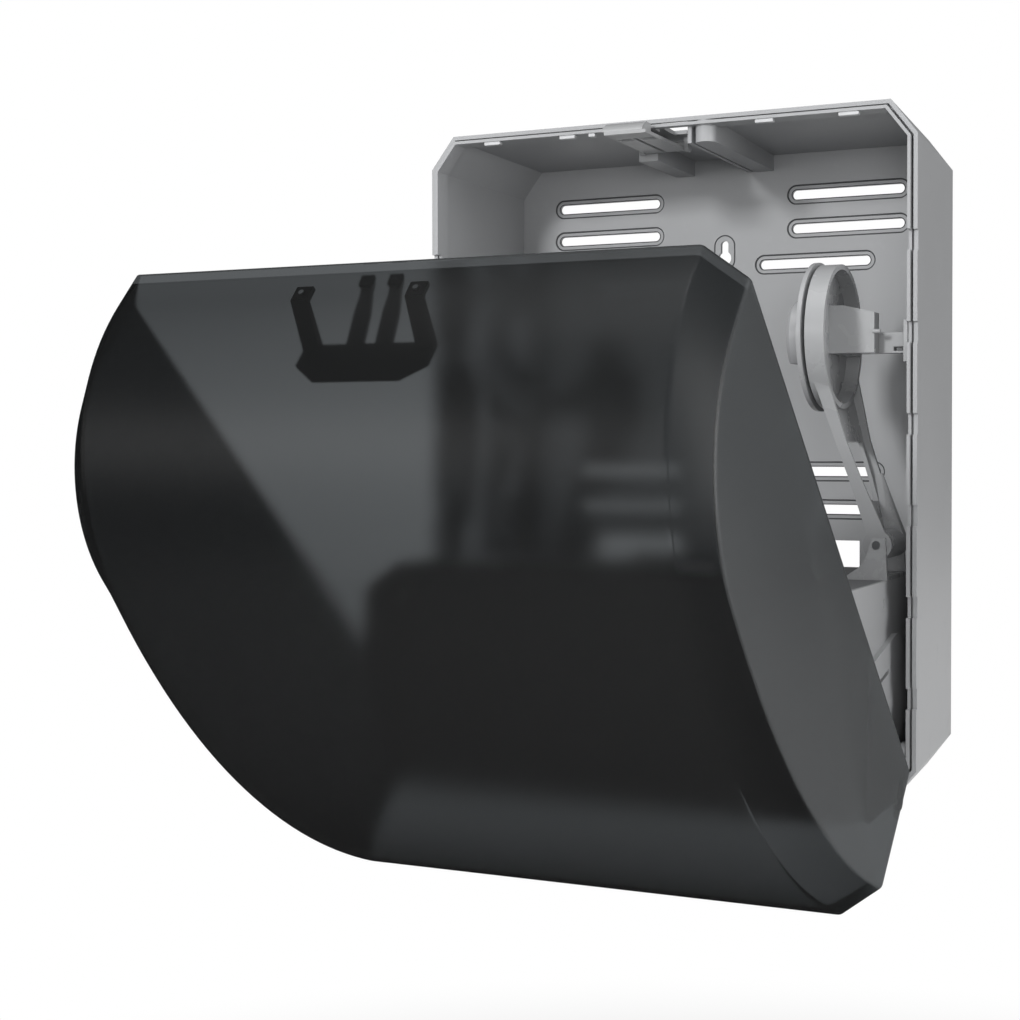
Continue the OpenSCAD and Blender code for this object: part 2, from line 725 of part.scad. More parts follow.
// Cover outline at one bevel line, from the top rear round to the foot
function arc_pts(c, r, a0, a1, n) = [for (i = [0:n]) [
  c[0] + r * cos(a0 + (a1 - a0) * i / n), c[1] + r * sin(a0 + (a1 - a0) * i / n)]];
function outline(top, yc, r1, a, toe, low, foot, t) =
  let (c1 = [-(body_d + yc), top - r1],
    out = [cos(upright + a), sin(upright + a)],
    way = [-(body_d + toe), low] - c1 - r1 * out,
    r2 = -(way * way) / (2 * (way * out)),
    c2 = c1 + (r1 - r2) * out,
    a1 = 180 - asin((low - (t > 0 ? flange_h : 0) - c2[1]) / (r2 - t)))
  concat([[cover_rear + (t > 0 ? over : 0), top - t]], arc_pts(c1, r1 - t, upright, upright + a, 20),
    arc_pts(c2, r2 - t, upright + a, a1, 16),
    [[cover_rear - (t > 0 ? -over : seam_foot), foot - (t > 0 ? foot_cut : 0)]]);
front_foot = side_foot + (front_low - side_low) / 2;
function front_line(t) = outline(body_h, front_y, front_r, front_a, front_toe, front_low, front_foot, t);
function side_line(t) = outline(side_z, side_y, side_r, side_a, side_toe, side_low, side_foot, t);

module cover_body(t) hull() {
  translate([t - side_x, 0, 0]) along_x() linear_extrude(skin) polygon(side_line(t));
  translate([side_x - t - skin, 0, 0]) along_x() linear_extrude(skin) polygon(side_line(t));
  translate([in_bx(t) + t - side_x, 0, 0]) along_x()
    linear_extrude(2 * (side_x - t - in_bx(t))) polygon(front_line(t));
}
module cover_shell() color("#26292c") row() opened() {
  difference() {
    cover_body(0);
    difference() {
      cover_body(cover_t);
      block(-side_x, side_x, -body_h, flange_h - body_d - catch_front - catch_front,
        -body_h, front_low + flange_h);
    }
    cover_body(flange_t);
    for (s = [-1, 1]) z_rod(catch_x + s * tab_x, tab_y, ceiling - over, ceiling + small_head_t, small_r);
  }
  both() difference() {
    union() {
      x_rod(ear_x, side_x - cover_t, hinge_y, hinge_up, ear_r);
      block(ear_x, side_x - cover_t, hinge_y - ear_r, hinge_y + ear_r, hinge_up, hinge_up + 2 * ear_r);
      peg = [hinge_y + peg_reach * cos(peg_dir), hinge_up + peg_reach * sin(peg_dir)];
      x_rod(lug_x, side_x - cover_t, peg[0], peg[1], peg_r);
    }
    x_rod(ear_x - over, side_x - cover_t - lug_gap, hinge_y, hinge_up, pin_r + run);
  }
}
peg_dir = toe_dir - 2 * asin((toe_r + peg_r + nip) / (2 * peg_reach)) - open_angle;

module hinge_pins() color("#6f7173") row() both()
  x_rod(lug_x, side_x - cover_t - 2 * lug_gap, hinge_y, hinge_up, pin_r);

// Catch plate that hangs from the cover's top on two ears
catch_y = -(body_d + catch_rear);
catch_front_y = -(body_d + catch_front);
ceiling = body_h - cover_t;
catch_x_shares = [-1, -1, -0.66, 0.66, 1, 1];
catch_y_shares = [0, 0.6, 1, 1, 0.6, 0];
module prong_side() {
  tip = prong_end - body_d;
  polygon([[catch_y - catch_t, catch_z], [catch_y - catch_t, catch_z + catch_t],
    [tip - hook_l, prong_top], [tip, prong_top],
    [tip, prong_top - catch_t], [tip - hook_l, prong_top - catch_t]]);
}
module prong_plan() polygon([
  [-prong_w / 2, catch_y - catch_t], [-prong_w / 2, catch_y + catch_rear / 2],
  [-prong_w / 4, prong_end - body_d], [prong_w / 4, prong_end - body_d],
  [prong_w / 2, catch_y + catch_rear / 2], [prong_w / 2, catch_y - catch_t]]);
tab_x = catch_hw - tab_w / 2;
tab_y = tab_w / 2 - body_d - front_y;
module catch_ear() polygon([
  [catch_y - 2 * catch_t, catch_z], [catch_y, catch_z],
  [tab_y - tab_w / 2 + catch_t, ceiling], [tab_y - tab_w / 2, ceiling]]);
module cover_catch() color("#2b2e31") row() opened() difference() {
  union() {
    translate([catch_x, catch_y, catch_z]) linear_extrude(catch_t)
      polygon([for (i = [0:5]) [catch_x_shares[i] * catch_hw,
        catch_y_shares[i] * (catch_front_y - catch_y)]]);
    for (s = [-1, 1]) {
      x = catch_x + s * tab_x;
      translate([x - tab_w / 2, 0, 0]) along_x() linear_extrude(tab_w) catch_ear();
      block(x - tab_w / 2, x + tab_w / 2, tab_y - tab_w / 2, tab_y + tab_w / 2, ceiling - catch_t, ceiling);
      translate([catch_x + s * prong_x, 0, 0]) intersection() {
        translate([-prong_w, 0, 0]) along_x() linear_extrude(2 * prong_w) prong_side();
        translate([0, 0, catch_z - over]) linear_extrude(prong_top - catch_z + 2 * over) prong_plan();
      }
    }
  }
  for (s = [-1, 1]) z_rod(catch_x + s * tab_x, tab_y, ceiling - catch_t - over, ceiling + over, small_r);
}
module catch_hooks() color("#141516") row() opened() for (s = [-1, 1]) {
  x = catch_x + s * prong_x;
  block(x - hook_w / 2, x + hook_w / 2, prong_end - body_d - hook_l, prong_end - body_d,
    prong_top, prong_top + hook_h);
}
module catch_screws() color("#7c7f82") row() opened() for (s = [-1, 1]) {
  x = catch_x + s * tab_x;
  z_rod(x, tab_y, ceiling - catch_t - small_head_t, ceiling - catch_t, small_head_r);
  z_rod(x, tab_y, ceiling - catch_t, ceiling + small_head_t, small_r);
}

// Latch under the roof, pivoted at the rear
latch_y = latch_pivot - body_d;
latch_c = latch_z + latch_barrel_r;
latch_left = catch_x - prong_x - latch_arm_w / 2;
latch_right = catch_x + prong_x + latch_arm_w / 2;
latch_nose = -(body_d + latch_front);
module latch_ears() for (x = [latch_left - ear_w - lug_gap, latch_right + lug_gap]) difference() {
  union() {
    x_rod(x, x + ear_w, latch_y, latch_c, latch_barrel_r + step_h);
    block(x, x + ear_w, latch_y - latch_barrel_r - step_h, latch_y + latch_barrel_r + step_h,
      latch_c, body_h - draft_z);
  }
}
module latch_plate() color("#8f9193") row() difference() {
  union() {
    for (s = [-1, 1]) {
      x = catch_x + s * prong_x;
      block(x - latch_arm_w / 2, x + latch_arm_w / 2, latch_nose, latch_y, latch_z, latch_z + latch_t);
    }
    block(latch_left, latch_right, latch_nose, latch_nose + latch_bar, latch_z, latch_z + latch_t);
    x_rod(latch_left, latch_right, latch_y, latch_c, latch_barrel_r);
    translate([catch_x - head_off - head_w / 2, 0, 0]) along_x() linear_extrude(head_w)
      translate([latch_nose, latch_z + latch_t]) scale([latch_bar, head_h])
        polygon(head_shares);
  }
  for (s = [-1, 1]) {
    x = catch_x + s * prong_x;
    block(x - hook_w / 2 - hook_gap, x + hook_w / 2 + hook_gap,
      prong_end - body_d - hook_l - hook_gap, prong_end - body_d + hook_gap,
      latch_z - over, latch_z + latch_t + over);
  }
  x_rod(latch_left - over, latch_right + over, latch_y, latch_c, latch_pin_r + run);
}
head_shares = [[0, 0], [0.08, 0.35], [0.5, 1], [0.96, 1], [0.96, 0]];
module latch_pin() color("#b4b7ba") row()
  x_rod(latch_left - ear_w - lug_gap, latch_right + ear_w + lug_gap, latch_y, latch_c, latch_pin_r);

// Beam at the side wall that stops an arm from spreading too far
stay_end = in_w(rim_t, body_d - rim_d);
beam_in = cup_in + cup_w + stay_gap;
beam_rear = beam_d + arm_gap + stay_d - stay_front;
plate_low = stay_low - end_h / 4;
slit_end = stay_end - end_t - stay_pin_r;
module stay() difference() {
  union() {
    block(beam_in, stay_end - over, beam_rear - beam_d, beam_rear, stay_low, stay_low + beam_h);
    block(stay_end - end_t, stay_end, over - body_d, beam_rear, plate_low, plate_low + end_h);
  }
  block(slit_end - beam_d, slit_end, beam_rear - beam_d - over, beam_rear + over,
    stay_low + stay_pin_r, stay_low + 2 * stay_pin_r + stay_pin_r);
}
module right_stay() color("#8f9193") row() stay();
module left_stay() color("#8f9193") row() mirror([1, 0, 0]) stay();

// Roll arm: cup, leaning channel and rounded foot
arm_top = hub_z - pivot_z - cup_r / 3;
arm_levels = [for (s = arm_level_shares) s * arm_top];
arm_fronts = [for (s = arm_front_shares) -(arm_front + s * arm_reach)];
arm_rears = [for (s = arm_rear_shares) s * arm_reach - arm_rear];
arm_n = len(arm_levels) - 1;
module arm_outline(t) polygon(concat(
  [for (i = [0:arm_n]) [arm_fronts[i] + t, arm_levels[i]]],
  [for (i = [arm_n:-1:0]) [arm_rears[i] - t, arm_levels[i]]]));
module arm_window() polygon(concat(
  [for (i = [2:arm_n - 2]) [arm_fronts[i] + 2 * arm_t, arm_levels[i]]],
  [for (i = [arm_n - 2:-1:2]) [arm_rears[i] - 3 * arm_t, arm_levels[i]]]));
module arm_front_view() polygon(concat(
  [for (i = [0:arm_n]) [-arm_deep / 2, arm_levels[i]]],
  [for (i = [arm_n:-1:0]) [(arm_deep_shares[i] - 1 / 2) * arm_deep, arm_levels[i]]]));
module leaning() translate([pivot_x, 0, pivot_z]) rotate([0, -arm_lean, 0]) children();
// Solid band across the cup's rear half, and the nose block that stands out of it
nose_out = cup_in + cup_w + nose_l;
module cup_nose() {
  intersection() {
    x_rod(cup_in + cup_floor, cup_in + cup_w, -hub_y, hub_z, cup_r - cup_t / 2);
    block(cup_in, cup_in + cup_w, -stay_front, cup_r - hub_y, stay_low, stay_low + stay_h);
  }
  translate([0, stay_d - stay_front, 0]) along_y() linear_extrude(stay_d)
    polygon([[cup_in + cup_floor, stay_low], [nose_out, stay_low], [nose_out, stay_low + stay_h_out],
      [cup_in + cup_w, stay_low + stay_h], [cup_in + cup_floor, stay_low + stay_h]]);
  x_rod(nose_out - over, nose_out + stay_pin_r + nub_r / 2, -stay_front, stay_low + beam_h, stay_pin_r);
}
module arm() difference() {
  union() {
    difference() {
      x_rod(cup_in, cup_in + cup_w, -hub_y, hub_z, cup_r);
      x_rod(cup_in + cup_floor, cup_in + cup_w + over, -hub_y, hub_z, cup_r - cup_t);
    }
    cup_nose();
    difference() {
      leaning() intersection() {
        translate([-arm_deep / 2, 0, 0]) difference() {
          along_x() linear_extrude(2 * arm_deep) arm_outline(0);
          translate([arm_t, 0, 0]) along_x() linear_extrude(2 * arm_deep) arm_outline(arm_t);
          translate([-over, 0, 0]) along_x() linear_extrude(arm_deep) arm_window();
        }
        along_y() linear_extrude(2 * body_d) arm_front_view();
      }
      x_rod(cup_in + cup_floor, cup_in + 2 * cup_w, -hub_y, hub_z, cup_r - cup_t);
      block(0, cup_in, -body_d - body_d, 0, 0, body_h);
    }
    y_rod(pivot_x, -arm_front, -arm_rear, pivot_z, foot_r);
    hull() {
      y_rod(pivot_x, -arm_rear - 3 * arm_t, -arm_rear, pivot_z, foot_r);
      leaning() block(-arm_deep / 2, arm_deep_shares[3] * arm_deep / 2, -arm_rear - arm_t, -arm_rear,
        arm_levels[3] - arm_t, arm_levels[3]);
    }
  }
  x_rod(cup_in - over, cup_in + cup_floor, -hub_y, hub_z, axle_r);
  y_rod(pivot_x, -arm_front - over, over - arm_rear, pivot_z, arm_pin_r + run);
  y_rod(pivot_x, -arm_front + 2 * arm_t, -arm_rear - 2 * arm_t, pivot_z, spring_r + arm_gap);
}
spring_r = arm_pin_r + run + 2 * wire_r + arm_gap;
module right_arm() color("#8f9193") row() arm();
module left_arm() color("#8f9193") row() mirror([1, 0, 0]) arm();

// Hub: core plug with a flat, and a flange disc
module hub() difference() {
  union() {
    x_rod(disc_in, disc_in + disc_t, -hub_y, hub_z, disc_r);
    difference() {
      x_rod(plug_in + disc_t, disc_in + over, -hub_y, hub_z, plug_r);
      block(plug_in, disc_in - disc_t, -hub_y - plug_r, plug_r - hub_y, hub_z - 2 * plug_r,
        hub_z - plug_flat);
    }
    translate([plug_in, -hub_y, hub_z]) rotate([0, 90, 0]) difference() {
      cylinder(h = disc_t, r1 = plug_r - disc_t, r2 = plug_r);
      translate([plug_flat, -plug_r, -over]) cube([plug_r, 2 * plug_r, disc_t + 2 * over]);
    }
    x_rod(disc_in - 2 * disc_t, disc_in, -hub_y, hub_z, plug_r - disc_t);
  }
  difference() {
    x_rod(plug_in + 2 * disc_t, disc_in + disc_t + over, -hub_y, hub_z, plug_flat - disc_t);
    x_rod(plug_in, disc_in + disc_t + 2 * over, -hub_y, hub_z, 2 * axle_r);
  }
  x_rod(plug_in + 2 * disc_t, disc_in + disc_t + over, -hub_y, hub_z, axle_r + run);
}
module right_hub() color("#a2a4a6") row() hub();
module left_hub() color("#a2a4a6") row() mirror([1, 0, 0]) hub();
module axle() x_rod(plug_in + 2 * disc_t + arm_gap, cup_in + cup_floor, -hub_y, hub_z, axle_r);
module right_axle() color("#b4b7ba") row() axle();
module left_axle() color("#b4b7ba") row() mirror([1, 0, 0]) axle();

// Arm base: two flared plates on a floor
base_h = pivot_z - mod_top + foot_r / 2;
module base_plate() polygon(concat([[base_in, mod_top]], [for (i = [0:6]) [
  base_in + base_x_shares[i] * (base_out - base_in), mod_top + base_z_shares[i] * base_h]]));
module arm_base() difference() {
  union() {
    for (y = [-arm_front - arm_gap, arm_gap + base_t - arm_rear])
      translate([0, y, 0]) along_y() linear_extrude(base_t) base_plate();
    block(base_in, base_out, -arm_front - arm_gap, arm_gap - arm_rear, mod_top, mod_top + base_t);
  }
  y_rod(pivot_x, -arm_front - arm_gap - base_t - over, over - arm_rear + base_t, pivot_z, arm_pin_r);
}
module right_arm_base() color("#a2a4a6") row() arm_base();
module left_arm_base() color("#a2a4a6") row() mirror([1, 0, 0]) arm_base();
module arm_pins() color("#b4b7ba") row() both()
  y_rod(pivot_x, -arm_front - arm_gap - base_t, arm_gap + base_t - arm_rear, pivot_z, arm_pin_r);
module coil(n, r, w) for (i = [0:n - 1]) translate([0, 0, w + i * (2 * w - w / 8)])
  rotate_extrude() translate([r, 0]) circle(r = w, $fn = 16);
module arm_springs() color("#b4b7ba") row() both()
  translate([pivot_x, (-arm_front - arm_rear) / 2, pivot_z]) rotate([90, 0, 0])
    coil(spring_turns, spring_r - wire_r, wire_r);

// Drive module: chassis with side plates, roof, battery bay and screw flanges
lid_hw = bay_hw + bay_t;
bay_front = bay_rear + bay_d;
arm_slot = 2 * base_t;
module chassis_outline() polygon([
  [-mod_rear, mod_low], [-exit_rear - rail_d, mod_low], [-plate_front, mod_low + rail_h + rail_h],
  [-plate_front, swing_z + eye_r + step_h],
  [-mod_mid, mod_top - mod_t], [-mod_mid, mod_top], [-mod_rear, mod_top]]);
module module_chassis() color("#6d7073") row() difference() {
  union() {
    both() translate([plate_in, 0, 0]) along_x() linear_extrude(plate_t) chassis_outline();
    block(-side_in, side_in, -mod_mid, -mod_rear, mod_top - mod_t, mod_top);
    block(-plate_in - over, plate_in + over, -mod_rear - mod_t, -mod_rear, mod_low, mod_top);
    block(-lid_hw, lid_hw, -bay_front - bay_t, bay_t - bay_rear, bay_floor - bay_t, mod_top);
    block(-plate_in - over, plate_in + over, -exit_rear - rail_d, -exit_rear, mod_low, mod_low + rail_h);
    for (s = [-1, 1]) block(s * lid_ear_x - lid_ear / 2, s * lid_ear_x + lid_ear / 2,
      lid_y - barrel_r, lid_y + barrel_r, mod_top - mod_t, lid_z + step_h);
    for (s = [-1, 1]) x_rod(s * lid_ear_x - lid_ear / 2, s * lid_ear_x + lid_ear / 2, lid_y, lid_z, barrel_r);
    for (z = board_posts) for (x = board_posts_x)
      y_rod(x, -board_y, -mod_rear, z, screw_r + mod_t);
    for (s = [-1, 1]) {
      y_rod(s * front_screw_x, -mod_mid, small_l - mod_mid, front_screw_z, head_r);
      block(s * front_screw_x - head_r, s * front_screw_x + head_r, -mod_mid, small_l - mod_mid, front_screw_z,
        mod_top - over);
    }
  }
  block(-bay_hw, bay_hw, -bay_front, -bay_rear, bay_floor, mod_top + over);
  for (s = [-1, 1]) {
    x_rod(s * (plate_in + plate_t / 2) - plate_t, s * (plate_in + plate_t / 2) + plate_t,
      roller_c[0], roller_c[1], bush_r);
    x_rod(s * (plate_in + plate_t / 2) - plate_t, s * (plate_in + plate_t / 2) + plate_t,
      -swing_y, swing_z, swing_pin_r);
    x_rod(s * lid_ear_x - lid_ear, s * lid_ear_x + lid_ear, lid_y, lid_z, lid_pin_r);
  }
  in_train() {
    x_rod(plate_in - over, plate_in + plate_t + over, idler_s, 0, idler_pin_r);
    x_rod(plate_in - over, plate_in + plate_t + over, pinion_s, 0, motor_hole_r);
  }
  pillars(screw_r, -mod_rear - mod_t - over, over - mod_rear);
  for (s = [-1, 1]) y_rod(s * front_screw_x, -mod_mid - over, small_l - mod_mid - over, front_screw_z, small_r);
  for (z = board_posts) for (x = board_posts_x) y_rod(x, -board_y - over, -board_y + small_l, z, small_r);
  for (s = [-1, 1]) for (z = side_screw_z)
    x_rod(s * (plate_in + plate_t / 2) - plate_t, s * (plate_in + plate_t / 2) + plate_t, side_screw_y, z,
      small_r);
}
// Places shared by neighbouring pieces
exit_rear = exit_lip - rail_d - rail_d;
side_in = mod_hw - side_t;
lid_ear_x = bay_hw - 2 * lid_ear;
board_x = 3 * pillar_r - plate_in + board_w / 2;
board_posts_x = [board_x - board_w / 2 + head_r, board_x + board_w / 2 - head_r];
board_posts = [board_low + head_r, board_low + board_h - head_r];
side_screw_y = -(mod_rear + pillar_r + pillar_r);
side_screw_z = [mod_low + 2 * pillar_r, mod_top - 2 * pillar_r];
module in_train() translate([0, roller_c[0], roller_c[1]]) rotate([train_tilt, 0, 0]) children();

module module_screws() color("#b4b7ba") row() for (s = [-1, 1], z = pillar_z) {
  y_rod(s * pillar_x, -mod_rear - mod_t - head_t, -mod_rear - mod_t, z, head_r);
  y_rod(s * pillar_x, -mod_rear - mod_t, -back_t - over, z, screw_r);
}

// Side cover with the raised panel over the gears
module rounded(x0, x1, y0, y1, z0, z1, r) {
  block(x0, x1, y0 + r, y1 - r, z0, z1);
  block(x0, x1, y0, y1, z0 + r, z1 - r);
  for (y = [y0 + r, y1 - r], z = [z0 + r, z1 - r]) x_rod(x0, x1, y, z, r);
}
module side_cover() difference() {
  union() {
    block(side_in, mod_hw, -mod_mid, -mod_rear - mod_t, mod_low, mod_top);
    block(plate_in + plate_t, mod_hw, -mod_rear - 2 * mod_t, -mod_rear - mod_t, mod_low, mod_top - mod_t);
    in_train() rounded(side_in, mod_hw + panel_h, panel_keep - panel_front, panel_rear,
      -panel_r, panel_r, panel_c);
    for (z = side_screw_z) x_rod(plate_in + plate_t, side_in + over, side_screw_y, z, small_head_r + side_t);
  }
  in_train() rounded(side_in - over, mod_hw + panel_h - side_t, panel_keep - panel_front + side_t,
    panel_rear - side_t, side_t - panel_r, panel_r - side_t, panel_c - side_t);
  for (z = side_screw_z) {
    x_rod(plate_in, mod_hw + over, side_screw_y, z, small_r);
    x_rod(side_in - small_head_t, mod_hw + over, side_screw_y, z, small_head_r + button_gap);
  }
  in_train() translate([0, slit_y, slit_z]) block(mod_hw + panel_h - groove_d, mod_hw + panel_h + over,
    -slit_l / 2, slit_l / 2, -small_r, small_r);
  block(side_in, mod_hw + over, slit_mark_y - small_r, slit_mark_y + small_r, slit_mark_z - 2 * small_r,
    slit_mark_z + 2 * small_r);
}
panel_keep = -panel_front / 2;
slit_y = panel_rear / 2;
slit_z = panel_r / 2;
slit_l = panel_rear / 4;
slit_mark_y = -(arm_front + foot_r + small_head_r);
slit_mark_z = mod_top - head_r - foot_r;
module fitted_side_cover() intersection() {
  side_cover();
  drafted(rim_t + button_gap, mod_rear, face_y);
}
module right_side_cover() color("#8f9193") row() fitted_side_cover();
module left_side_cover() color("#8f9193") row() mirror([1, 0, 0]) fitted_side_cover();
module side_screws() color("#b4b7ba") row() for (s = [-1, 1]) for (z = side_screw_z) {
  head = side_in - small_head_t;
  x_rod(min(s * head, s * (head + small_head_t)), max(s * head, s * (head + small_head_t)), side_screw_y, z,
    small_head_r);
  x_rod(min(s * head, s * plate_in), max(s * head, s * plate_in), side_screw_y, z, small_r);
}

// Front cover of the module, curved like the dispenser's cover
module face_side(t) intersection() {
  along_x() translate([0, 0, -mod_hw]) linear_extrude(2 * mod_hw) polygon([
    [t > 0 ? over - mod_mid : -mod_mid, mod_low + (t > 0 ? t : 0)],
    [-face_y - over, mod_low + (t > 0 ? t : 0)], [-face_y - over, face_top - t],
    [t > 0 ? over - mod_mid : -mod_mid, face_top - t]]);
  x_rod(-mod_hw, mod_hw, face_r - face_y, face_z, face_r - t);
}
module face_front(t) translate([0, -mod_mid + 2 * over, 0]) along_y()
  linear_extrude(face_y) polygon([
    [-mod_hw + t, mod_low - over], [mod_hw - t, mod_low - over],
    [mod_hw - t, face_top - slant_z - t / 2], [mod_hw - slant_x - t / 2, face_top - t / 2 - t / 2],
    [slant_x + t / 2 - mod_hw, face_top - t / 2 - t / 2], [t - mod_hw, face_top - slant_z - t / 2]]);
module module_front() color("#55585b") row() difference() {
  union() {
    difference() {
      intersection() {
        face_side(0);
        face_front(0);
      }
      intersection() {
        face_side(mod_t);
        face_front(mod_t);
      }
      block(-feed_hw, feed_hw, -feed_lip, over - mod_mid, face_top - 2 * mod_t, face_top + over);
      block(-feed_hw - over, feed_hw + over, -exit_lip, over - mod_mid, mod_low - over, mod_low + 2 * mod_t);
    }
    block(-feed_hw - over, feed_hw + over, -exit_lip - mod_t, -exit_lip, mod_low, mod_low + exit_h);
    for (s = [-1, 1]) y_rod(s * front_screw_x, -mod_mid - front_post, -mod_mid, front_screw_z, head_r);
    for (s = [-1, 1]) block(s * front_screw_x - step_h, s * front_screw_x + step_h, mod_t - face_y,
      -mod_mid, front_screw_z + small_head_r + button_gap, face_top - mod_t / 2);
  }
  block(button_x - button_hw - button_gap, button_x + button_hw + button_gap, button_y - button_hd - button_gap,
    button_y + button_hd + button_gap, face_top - 2 * mod_t, face_top + over);
  block(switch_x - knob_hw - knob_travel - button_gap, switch_x + knob_hw + button_gap,
    button_y - knob_hw / 2 - button_gap, button_y + knob_hw / 2 + button_gap, face_top - 2 * mod_t,
    face_top + over);
  z_rod(sensor_x, sensor_y, mod_low - over, mod_low + 2 * mod_t, eye_window_r);
  z_rod(sensor_x + 4 * eye_window_r, sensor_y, mod_low - over, mod_low + 2 * mod_t, lamp_r);
  for (s = [-1, 1]) {
    y_rod(s * front_screw_x, -mod_mid - front_post - over, over - mod_mid, front_screw_z, small_r);
    y_rod(s * front_screw_x, -face_y - over, -mod_mid - front_post, front_screw_z, small_head_r + button_gap);
  }
}
front_screw_x = plate_in - pillar_r;
front_screw_z = mod_top - pillar_r - step_h;
front_post = small_l;
sensor_y = -(exit_lip + mod_t + eye_window_r + step_h);
button_y = -(feed_lip + button_hd + mod_t + step_h);
module front_screws() color("#b4b7ba") row() for (s = [-1, 1]) {
  y_rod(s * front_screw_x, -mod_mid - front_post - small_head_t, -mod_mid - front_post, front_screw_z,
    small_head_r);
  y_rod(s * front_screw_x, -mod_mid - front_post, small_l - mod_mid - 2 * over, front_screw_z, small_r);
}

// Serrated tear bar and the guide behind the paper exit
tooth_n = 52;
bar_step = 2 * feed_hw / tooth_n;
module tear_bar() color("#c9ccd0") row() translate([0, step_h - exit_lip, 0]) along_y() linear_extrude(step_h)
  polygon(concat([[-feed_hw, mod_low + exit_h]],
    [for (i = [0:2 * tooth_n]) [i * bar_step / 2 - feed_hw, mod_low - (i % 2 == 1 ? bar_step : bar_step / 4)]],
    [[feed_hw, mod_low + exit_h]]));
module paper_guide() color("#3c3f42") row() difference() {
  translate([-feed_hw, 0, 0]) along_x() linear_extrude(2 * feed_hw) polygon([
    [-exit_rear - rail_d, mod_low], [-exit_rear - rail_d - mod_t, mod_low],
    [-exit_rear - rail_d - mod_t, guide_top], [-exit_rear - rail_d, guide_top - step_h]]);
  for (i = [-2:2]) block(i * sleeve_pitch / 2 - rail_d / 2, i * sleeve_pitch / 2 + rail_d / 2,
    -exit_lip, -exit_rear, guide_top - rail_h, guide_top + over);
}
guide_top = roller_z - roller_r - step_h;

// Gears with involute flanks, the first tooth on the local +X axis
function inv_pt(rb, r) = let (t = sqrt(max(0, r * r / (rb * rb) - 1))) [r, t * 180 / PI - atan(t)];
function flank(n, m, steps) =
  let (rp = m * n / 2, rb = rp * cos(20), ra = rp + m,
    half = 90 / n - backlash / (4 * rp) * 180 / PI, ip = inv_pt(rb, rp)[1])
  [for (i = [0:steps]) let (r = max(rb, rp - m) + (ra - max(rb, rp - m)) * i / steps, q = inv_pt(rb, r))
    [q[0], half + ip - q[1]]];
function gear_pts(n, m, steps) = let (f = flank(n, m, steps), rr = m * n / 2 - m * root_share)
  [for (k = [0:n - 1]) each concat(
    [[rr, k * 360 / n - f[0][1]]],
    [for (i = [0:steps]) [f[i][0], k * 360 / n - f[i][1]]],
    [for (i = [steps:-1:0]) [f[i][0], k * 360 / n + f[i][1]]],
    [[rr, k * 360 / n + f[0][1]]])];
root_share = 1.25;
spoke_share = 0.29;
module gear(n, spin) rotate([0, 0, spin]) linear_extrude(gear_w)
  polygon([for (p = gear_pts(n, tooth, 3)) [p[0] * cos(p[1]), p[0] * sin(p[1])]]);
module at_gear(d) in_train() translate([gear_x, d, 0]) rotate([90, 0, 90]) children();
module roller_gear() color("#d8d4c6") row() at_gear(0) difference() {
  gear(roller_n, 0);
  translate([0, 0, -over]) cylinder(h = gear_w + 2 * over, r = shaft_r);
  for (i = [0:spoke_n - 1]) rotate((i + 1 / 2) * 360 / spoke_n)
    translate([tooth * roller_n * spoke_share, 0, -over])
    cylinder(h = gear_w + 2 * over, r = idler_pin_r);
}
module idler_gear() color("#d8d4c6") row() at_gear(idler_s) difference() {
  gear(idler_n, 180 / idler_n);
  translate([0, 0, -over]) cylinder(h = gear_w + 2 * over, r = idler_pin_r + run);
}
module motor_pinion() color("#c2a24a") row() at_gear(pinion_s) difference() {
  gear(pinion_n, 0);
  translate([0, 0, -over]) cylinder(h = gear_w + 2 * over, r = motor_shaft_r);
}
module idler_pin() color("#b4b7ba") row() in_train() {
  x_rod(plate_in, gear_x + gear_w + gear_gap, idler_s, 0, idler_pin_r);
  x_rod(gear_x + gear_w + gear_gap / 2, gear_x + gear_w + 2 * gear_gap, idler_s, 0, idler_pin_r + step_h);
}
module drive_motor() color("#a9acaf") row() in_train() difference() {
  union() {
    x_rod(plate_in - motor_l, plate_in, pinion_s, 0, motor_r);
    x_rod(plate_in - motor_l - mod_t, plate_in - motor_l + over, pinion_s, 0, motor_r / 3);
    x_rod(plate_in - over, plate_in + plate_t - gear_gap, pinion_s, 0, motor_hole_r - gear_gap);
  }
  x_rod(plate_in - motor_l / 2, plate_in + plate_t, pinion_s, 0, motor_shaft_r + run);
}
module motor_shaft() color("#b4b7ba") row() in_train()
  x_rod(plate_in - motor_l / 2 + over, gear_x + gear_w, pinion_s, 0, motor_shaft_r);
module drive_shaft() color("#b4b7ba") row()
  x_rod(-plate_in - plate_t - gear_gap, gear_x + gear_w + gear_gap, roller_c[0], roller_c[1], shaft_r);
module roller_sleeves() color("#2a2b2c") row() for (i = [-1:1]) difference() {
  x_rod(i * sleeve_pitch - sleeve_hl, i * sleeve_pitch + sleeve_hl, roller_c[0], roller_c[1], roller_r);
  x_rod(i * sleeve_pitch - sleeve_hl - over, i * sleeve_pitch + sleeve_hl + over, roller_c[0], roller_c[1],
    shaft_r);
}
module shaft_bushes() color("#e4e2da") row() both() difference() {
  union() {
    x_rod(plate_in, plate_in + plate_t, roller_c[0], roller_c[1], bush_r);
    x_rod(plate_in - step_h, plate_in, roller_c[0], roller_c[1], bush_r + step_h);
  }
  x_rod(plate_in - step_h - over, plate_in + plate_t + over, roller_c[0], roller_c[1], shaft_r + run);
}

